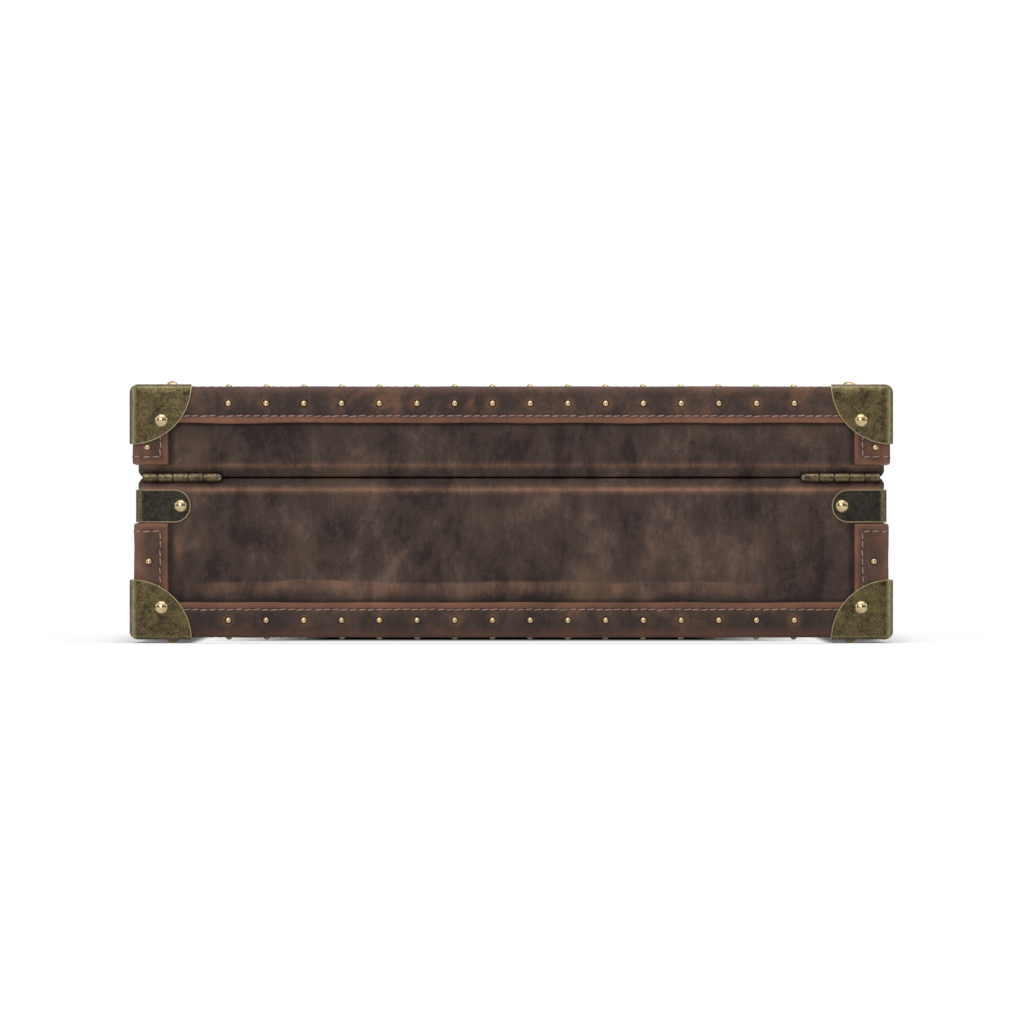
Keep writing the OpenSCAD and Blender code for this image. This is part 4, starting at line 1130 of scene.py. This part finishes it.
def make_grip():
    """The grip, turned about X: its radius falls by the power 2.5 from the middle, with a ridge below."""
    low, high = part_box("handle_grip")
    middle = (low + high) / 2
    radius, half = (high.z - low.z) / 2, (high.x - low.x) / 2
    bar = 2.9 * MM

    def girth(share):
        return radius - GRIP_TAPER * np.abs(share) ** 2.5

    def turned(x, r, angle):
        return np.stack([middle.x + x, middle.y + r * np.cos(angle), middle.z + r * np.sin(angle)], -1)

    tips = np.array([0.975, 0.99, 0.999, 1])
    u = np.concatenate([-tips[::-1], np.linspace(-0.95, 0.95, 70), tips])
    v = all_round(56)
    U, V = np.meshgrid(u, v, indexing="ij")
    from_ridge = np.angle(np.exp(1j * (V - math.pi / 2)))
    ends = np.sqrt(np.clip(1 - (np.clip((np.abs(U) - 0.95) / 0.05, 0, 1)) ** 4, 0, 1)) * 0.16 + 0.84
    ridge = 0.5 * MM * hill(from_ridge, 0, 0.16) * (np.abs(U) < 0.93)
    wave = np.stack([U * half, np.cos(V) * radius, np.sin(V) * radius], -1)
    r = girth(U) * ends - 0.5 * MM + ridge + 0.1 * MM * swell(wave, 18 * MM, 71)
    # The last two rings are the hole for the handle's bar
    x = np.concatenate([U * half, np.array([half, -half])[:, None] + 0 * V[:2]])
    r, V = np.concatenate([r, np.full((2, len(v)), bar)]), np.concatenate([V, V[:2]])
    points = turned(x, r, V)
    rub = 0.25 + 0.5 * hill(from_ridge, 0, 0.3) + 0.3 * (np.abs(U) > 0.9)
    values = {"rub": np.concatenate([np.clip(rub, 0, 1), np.full((2, len(v)), 0.5)])}
    piece = make_sheet("handle_leather_grip", points, values, round_rows=True)
    finish_piece(piece, "handle", grip_leather(), "binding_leather", "handle_grip")
    x = row_of(-half * 0.88, half * 0.88, sizes().stitch_pitch)
    height = girth(x / half) - 0.3 * MM
    middles, outs = [], []
    for lean in (-0.24, 0.24):
        angle = math.pi / 2 + lean
        middles.append(turned(x, height, angle))
        outs.append(np.tile([0, math.cos(angle), math.sin(angle)], (len(x), 1)))
    ways = np.tile([1.0, 0, 0], (2 * len(x), 1))
    sew("handle_grip_stitching", "handle", np.concatenate(middles), ways, np.concatenate(outs))


# Cushions and lid pad

def filled_cushion():
    """One cushion, blown up by cloth pressure from a slightly smaller copy of its solid, round its middle."""
    low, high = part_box("cushion_1")
    middle = (low + high) / 2
    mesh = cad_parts["cushion_1"].data.copy()
    work = bmesh.new()
    work.from_mesh(mesh)
    bmesh.ops.remove_doubles(work, verts=work.verts, dist=1e-6)
    for vert in work.verts:
        vert.co = (vert.co - middle) * FILL_START
    bmesh.ops.recalc_face_normals(work, faces=work.faces)
    work.to_mesh(mesh)
    work.free()
    piece = add_object("cushion_form", mesh)
    bpy.context.view_layer.objects.active = piece
    remesh = piece.modifiers.new("Voxels", "REMESH")
    remesh.mode = "VOXEL"
    remesh.voxel_size = sizes().cushion_voxel
    bpy.ops.object.select_all(action="DESELECT")
    piece.select_set(True)
    bpy.ops.object.modifier_apply(modifier=remesh.name)
    rest = np.array([v.co for v in piece.data.vertices])
    cloth = piece.modifiers.new("Filling", "CLOTH")
    cloth.settings.use_pressure = True
    cloth.settings.uniform_pressure_force = 4
    cloth.settings.effector_weights.gravity = 0
    cloth.settings.quality = 5
    scene = bpy.context.scene
    for moment in range(1, 21):
        scene.frame_set(moment)
    shaped = piece.evaluated_get(bpy.context.evaluated_depsgraph_get()).to_mesh()
    moved = np.array([v.co for v in shaped.vertices]) - rest
    far = np.linalg.norm(moved, axis=1)[:, None] + 1e-12
    rest = rest + moved * np.minimum(1, sizes().cushion_cap / far)
    piece.modifiers.remove(cloth)
    scene.frame_set(1)
    half = np.array((high - low) / 2)
    rest = np.clip(rest, -half, half)
    piece.data.vertices.foreach_set("co", rest.ravel().astype(np.float32))
    piece.data.update()
    smooth = piece.modifiers.new("Fine", "SUBSURF")
    smooth.levels = smooth.render_levels = 1
    bpy.ops.object.modifier_apply(modifier=smooth.name)
    return piece


def make_cushions():
    """Twelve cushions, each with a piped seam round both ends."""
    form = filled_cushion()
    points = np.array([v.co for v in form.data.vertices])
    faces = np.array([p.vertices for p in form.data.polygons])
    half = np.abs(points).max(0)
    tree = BVHTree.FromPolygons(points.tolist(), faces.tolist())
    # The seam is found by rays from outside towards the cushion's long axis
    seam_share, reach = 0.8, 0.2
    pipes = []
    for sign in (1, -1):
        ring = []
        for angle in all_round(64):
            way = Vector((0, math.cos(angle), math.sin(angle)))
            ring.append(tree.ray_cast(Vector((sign * half[0] * seam_share, 0, 0)) + way * reach, -way)[0])
        pipes.append(tube(np.array(ring), PIPING_RADIUS))
    pipe_points, pipe_faces = join_arrays(pipes)
    for k in range(1, 13):
        low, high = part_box(f"cushion_{k}")
        middle = np.array((low + high) / 2)
        turn = [-1, -1, 1] if k % 2 else [1, 1, 1]
        piece = make_piece(f"watch_cushion_{k}", points * turn + middle, faces, weld=False)
        finish_piece(piece, f"cushion_{k}", suede_cushion(), "suede_cushion", f"cushion_{k}")
        pipe = make_piece(f"cushion_piping_{k}", pipe_points * turn + middle, pipe_faces, weld=False)
        finish_piece(pipe, f"cushion_{k}", suede_lining(), "suede_lining")
    bpy.data.objects.remove(form)


def make_lid_pad():
    """The lid's padded board: a flat back and a front that swells as a product of sines between channels."""
    low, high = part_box("lid_lining_board")
    columns, rows = 6, 2
    X, Y = np.meshgrid(np.linspace(low.x, high.x, 181), np.linspace(low.y, high.y, 121), indexing="ij")
    across = np.abs(np.sin(math.pi * (X - low.x) / (high.x - low.x) * columns)) ** 0.45
    along = np.abs(np.sin(math.pi * (Y - low.y) / (high.y - low.y) * rows)) ** 0.3
    edge = np.minimum(np.minimum(X - low.x, high.x - X), np.minimum(Y - low.y, high.y - Y))
    thick = (high.z - low.z) * quarter_round(edge, 2.2 * MM) * (0.34 + 0.66 * across * along)
    front = np.stack([X, Y, high.z - thick], -1)
    back = np.stack([X, Y, np.full(X.shape, high.z)], -1)
    points = np.concatenate([front, back[:, ::-1]], 1)
    piece = make_sheet("lid_pad", points)
    finish_piece(piece, "lid", suede_lining(), "suede_lining", "lid_lining_board")


# Finishes of the solids that stay

FINISHES = (
    (bracket_brass, [f"{half}_bracket_{face}_{side}" for half in HALVES for face in FACES for side in SIDES]),
    (hinge_brass, [f"{half}_hinge_leaf_{side}" for half in HALVES for side in SIDES]),
    (pin_steel, ["hinge_pins"]),
    (antique_brass, ["lock_case_right", "lock_case_left", "keeper_right", "keeper_left", "handle_mounts",
                     "handle_bail"]),
    (polished_brass, ["base_nails", "lid_nails", "base_bracket_rivets", "standing_rivets",
                      "lid_bracket_rivets", "clamp_rivets", "base_hinge_screws", "lid_hinge_screws",
                      "bolt_right", "bolt_left", "front_rivets", "keeper_rivets", "handle_pins"]),
    (dark_bronze, ["edge_clamps"]),
    (plywood, ["base_shell", "lid_shell"]),
    (suede_lining, ["base_lining", "lid_lining", "row_dividers", "column_dividers"]),
)


def finish_solids():
    for material, nodes in FINISHES:
        for name in nodes:
            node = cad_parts[name]
            node.data.materials.clear()
            node.data.materials.append(material())


# Floor, light and camera

def rays(b):
    """The light path's outputs, and 1 for rays that end in the picture directly or through metal or glass."""
    path = b.add("ShaderNodeLightPath").outputs
    return path, b.larger(path["Is Camera Ray"], path["Is Glossy Ray"], path["Is Transmission Ray"])


def floor_material():
    """White that keeps the case's shadow near it, with painted light where it is seen at a glance: a glow
    under the case and a white like a shining table round it.
    """
    material = bpy.data.materials.new("floor_white")
    b = empty_bench(material)
    path, looked_at = rays(b)
    shade = b.mix(b.noise(b.place(), 3.0), (0.9, 0.9, 0.9), (0.92, 0.92, 0.92))
    diffuse = b.result("ShaderNodeBsdfDiffuse", {"Color": shade})
    low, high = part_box("base_binding")
    middle, half = (low + high) / 2, (high - low) / 2
    x, y = b.split(b.place_from((middle.x, middle.y, 0)))[:2]
    from_end = b.minus(half.x, x)
    under = b.smaller(from_end, b.minus(half.y, y))
    glance = b.step(b.add("ShaderNodeLayerWeight", {"Blend": 0.5}).outputs["Facing"], 0.9, 0.96)
    # Painted light: under the case the floor glows as if the white room shone in between the brackets;
    # beneath the brackets it is left out, so their shadow stays dark
    spill = b.times(b.step(under, 5 * MM, 10 * MM), b.step(from_end, 26 * MM, 34 * MM))
    spill = b.times(spill, glance, path["Is Camera Ray"], 0.85)
    strength = b.times(b.plus(spill, 0.14), b.step(under, 95 * MM, 20 * MM))
    glow = b.result("ShaderNodeEmission", {"Color": WHITE, "Strength": strength})
    plain = b.result("ShaderNodeAddShader", {0: diffuse, 1: glow})
    # Away from the case the floor turns into the white of the background; round the case, seen at a glance,
    # it is painted white as a reflection of the white room
    white = b.result("ShaderNodeEmission", {"Color": WHITE, "Strength": 1.0})
    beside = b.times(glance, b.step(under, 0.0, -28 * MM, 0.0, 0.85))
    away = b.larger(b.step(b.vector("LENGTH", b.place(), out=1), 0.36, 0.8), beside)
    ground = b.result("ShaderNodeMixShader", {0: away, 1: plain, 2: white})
    seen = b.result("ShaderNodeMixShader", {0: looked_at, 1: diffuse, 2: ground})
    b.add("ShaderNodeOutputMaterial", {0: seen})
    return material


def make_room(scene):
    """A white room; in metal it has a dim soft panel on each of its four sides."""
    scene.world = bpy.data.worlds.new("studio")
    b = empty_bench(scene.world)
    path, looked_at = rays(b)
    x, y, z = b.split(b.vector("ABSOLUTE", b.add("ShaderNodeTexCoord").outputs["Generated"]))
    panel = b.times(b.step(b.larger(x, y), 0.6, 0.8), b.step(z, 0.7, 0.45))
    seen = b.mix(b.times(panel, path["Is Glossy Ray"], 0.93), WHITE, (0.0, 0.0, 0.0))
    room = b.result("ShaderNodeBackground", {"Color": (0.55, 0.55, 0.56), "Strength": 1.0})
    white = b.result("ShaderNodeBackground", {"Color": seen, "Strength": 1.0})
    both = b.result("ShaderNodeMixShader", {0: looked_at, 1: room, 2: white})
    b.add("ShaderNodeOutputWorld", {0: both})


def make_lamp(name, place, aim, width, height, power):
    """A square soft lamp that shines from its place at its aim."""
    data = bpy.data.lights.new(name, "AREA")
    data.shape = "RECTANGLE"
    data.size, data.size_y, data.energy = width, height, power
    item = add_object(name, data)
    item.location = place
    item.rotation_euler = (Vector(aim) - Vector(place)).to_track_quat("-Z", "Y").to_euler()


def make_stage():
    """A white floor that keeps the case's shadow, soft light, and a long level lens on the hinge side."""
    scene = bpy.context.scene
    scene.view_settings.view_transform = "Standard"
    reach = 12.0
    mesh = bpy.data.meshes.new("floor")
    corners = [(-reach, -reach, 0), (reach, -reach, 0), (reach, reach, 0), (-reach, reach, 0)]
    mesh.from_pydata(corners, [], [(0, 1, 2, 3)])
    mesh.materials.append(floor_material())
    floor = add_object("floor", mesh)
    make_room(scene)
    make_lamp("overhead", (0.0, 0.35, 1.5), (0, 0, 0.05), 1.6, 1.2, 9)
    make_lamp("camera_side", (0.5, 2.2, 1.1), (0, 0.1, 0.06), 1.4, 1.0, 17)
    make_lamp("far_side", (-0.6, -1.9, 1.2), (0, 0, 0.06), 1.4, 1.0, 11)
    make_lamp("left_end", (1.9, 0.3, 0.8), (0, 0, 0.06), 1.0, 0.9, 5)
    make_lamp("right_end", (-1.9, 0.2, 0.8), (0, 0, 0.06), 1.0, 0.9, 5)

    # At the rear panel the picture is as wide as the photograph shows
    data = bpy.data.cameras.new("camera")
    distance = 3.0
    data.sensor_width = 36
    data.lens = data.sensor_width * distance / PICTURE_WIDTH
    data.clip_end = 60
    camera = add_object("camera", data)
    aside, height = -0.35 * MM, 65.4 * MM
    camera.location = (aside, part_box("base_binding")[1].y + distance, height)
    camera.rotation_euler = (math.pi / 2, 0, math.pi)
    scene.camera = camera


class PieceOperator:
    """What the case's operators share."""

    bl_options = {"REGISTER", "UNDO"}
    work = None

    def execute(self, context):
        type(self).work()
        return {"FINISHED"}


class WATCHCASE_OT_covers(PieceOperator, bpy.types.Operator):
    """Leather covers of the base and the lid"""

    bl_idname = "watchcase.covers"
    bl_label = "Leather covers"
    work = staticmethod(make_covers)


class WATCHCASE_OT_bindings(PieceOperator, bpy.types.Operator):
    """Leather bindings round the top and the bottom edges"""

    bl_idname = "watchcase.bindings"
    bl_label = "Leather bindings"
    work = staticmethod(make_bindings)


class WATCHCASE_OT_corner_strips(PieceOperator, bpy.types.Operator):
    """Leather strips round the upright corners"""

    bl_idname = "watchcase.corner_strips"
    bl_label = "Corner strips"
    work = staticmethod(make_corner_strips)


class WATCHCASE_OT_stitching(PieceOperator, bpy.types.Operator):
    """Stitches along the bindings and the corner strips"""

    bl_idname = "watchcase.stitching"
    bl_label = "Stitching"
    work = staticmethod(make_stitching)


class WATCHCASE_OT_grip(PieceOperator, bpy.types.Operator):
    """Leather grip of the handle and its stitches"""

    bl_idname = "watchcase.grip"
    bl_label = "Handle grip"
    work = staticmethod(make_grip)


class WATCHCASE_OT_cushions(PieceOperator, bpy.types.Operator):
    """Twelve watch cushions and their piping"""

    bl_idname = "watchcase.cushions"
    bl_label = "Watch cushions"
    work = staticmethod(make_cushions)


class WATCHCASE_OT_lid_pad(PieceOperator, bpy.types.Operator):
    """Padded board inside the lid"""

    bl_idname = "watchcase.lid_pad"
    bl_label = "Lid pad"
    work = staticmethod(make_lid_pad)


class WATCHCASE_OT_finishes(PieceOperator, bpy.types.Operator):
    """Finishes of the metal fittings, the wooden boxes and the linings"""

    bl_idname = "watchcase.finishes"
    bl_label = "Metal, wood and lining finishes"
    work = staticmethod(finish_solids)


class WATCHCASE_OT_stage(PieceOperator, bpy.types.Operator):
    """Floor, light and camera"""

    bl_idname = "watchcase.stage"
    bl_label = "Stage"
    work = staticmethod(make_stage)


OPERATORS = (
    WATCHCASE_OT_covers, WATCHCASE_OT_bindings, WATCHCASE_OT_corner_strips, WATCHCASE_OT_stitching,
    WATCHCASE_OT_grip, WATCHCASE_OT_cushions, WATCHCASE_OT_lid_pad, WATCHCASE_OT_finishes, WATCHCASE_OT_stage,
)


class WATCHCASE_PT_panel(bpy.types.Panel):
    """Lists the case's pieces with their sizes and colours"""

    bl_idname = "WATCHCASE_PT_panel"
    bl_label = "Watch display case"
    bl_space_type = "VIEW_3D"
    bl_region_type = "UI"
    bl_category = "Watch case"

    def draw(self, context):
        for settings in (sizes(), colours()):
            column = self.layout.column()
            for key in settings.__annotations__:
                column.prop(settings, key)
        for operator in OPERATORS:
            self.layout.operator(operator.bl_idname)


CLASSES = (CaseSizes, CaseColours, *OPERATORS, WATCHCASE_PT_panel)


def register():
    for item in CLASSES:
        bpy.utils.register_class(item)
    bpy.types.Scene.watch_case_sizes = bpy.props.PointerProperty(type=CaseSizes)
    bpy.types.Scene.watch_case_colours = bpy.props.PointerProperty(type=CaseColours)


def unregister():
    del bpy.types.Scene.watch_case_colours
    del bpy.types.Scene.watch_case_sizes
    for item in reversed(CLASSES):
        bpy.utils.unregister_class(item)


def main():
    register()
    for operator in OPERATORS:
        group, name = operator.bl_idname.split(".")
        getattr(getattr(bpy.ops, group), name)()


if __name__ == "__main__":
    main()
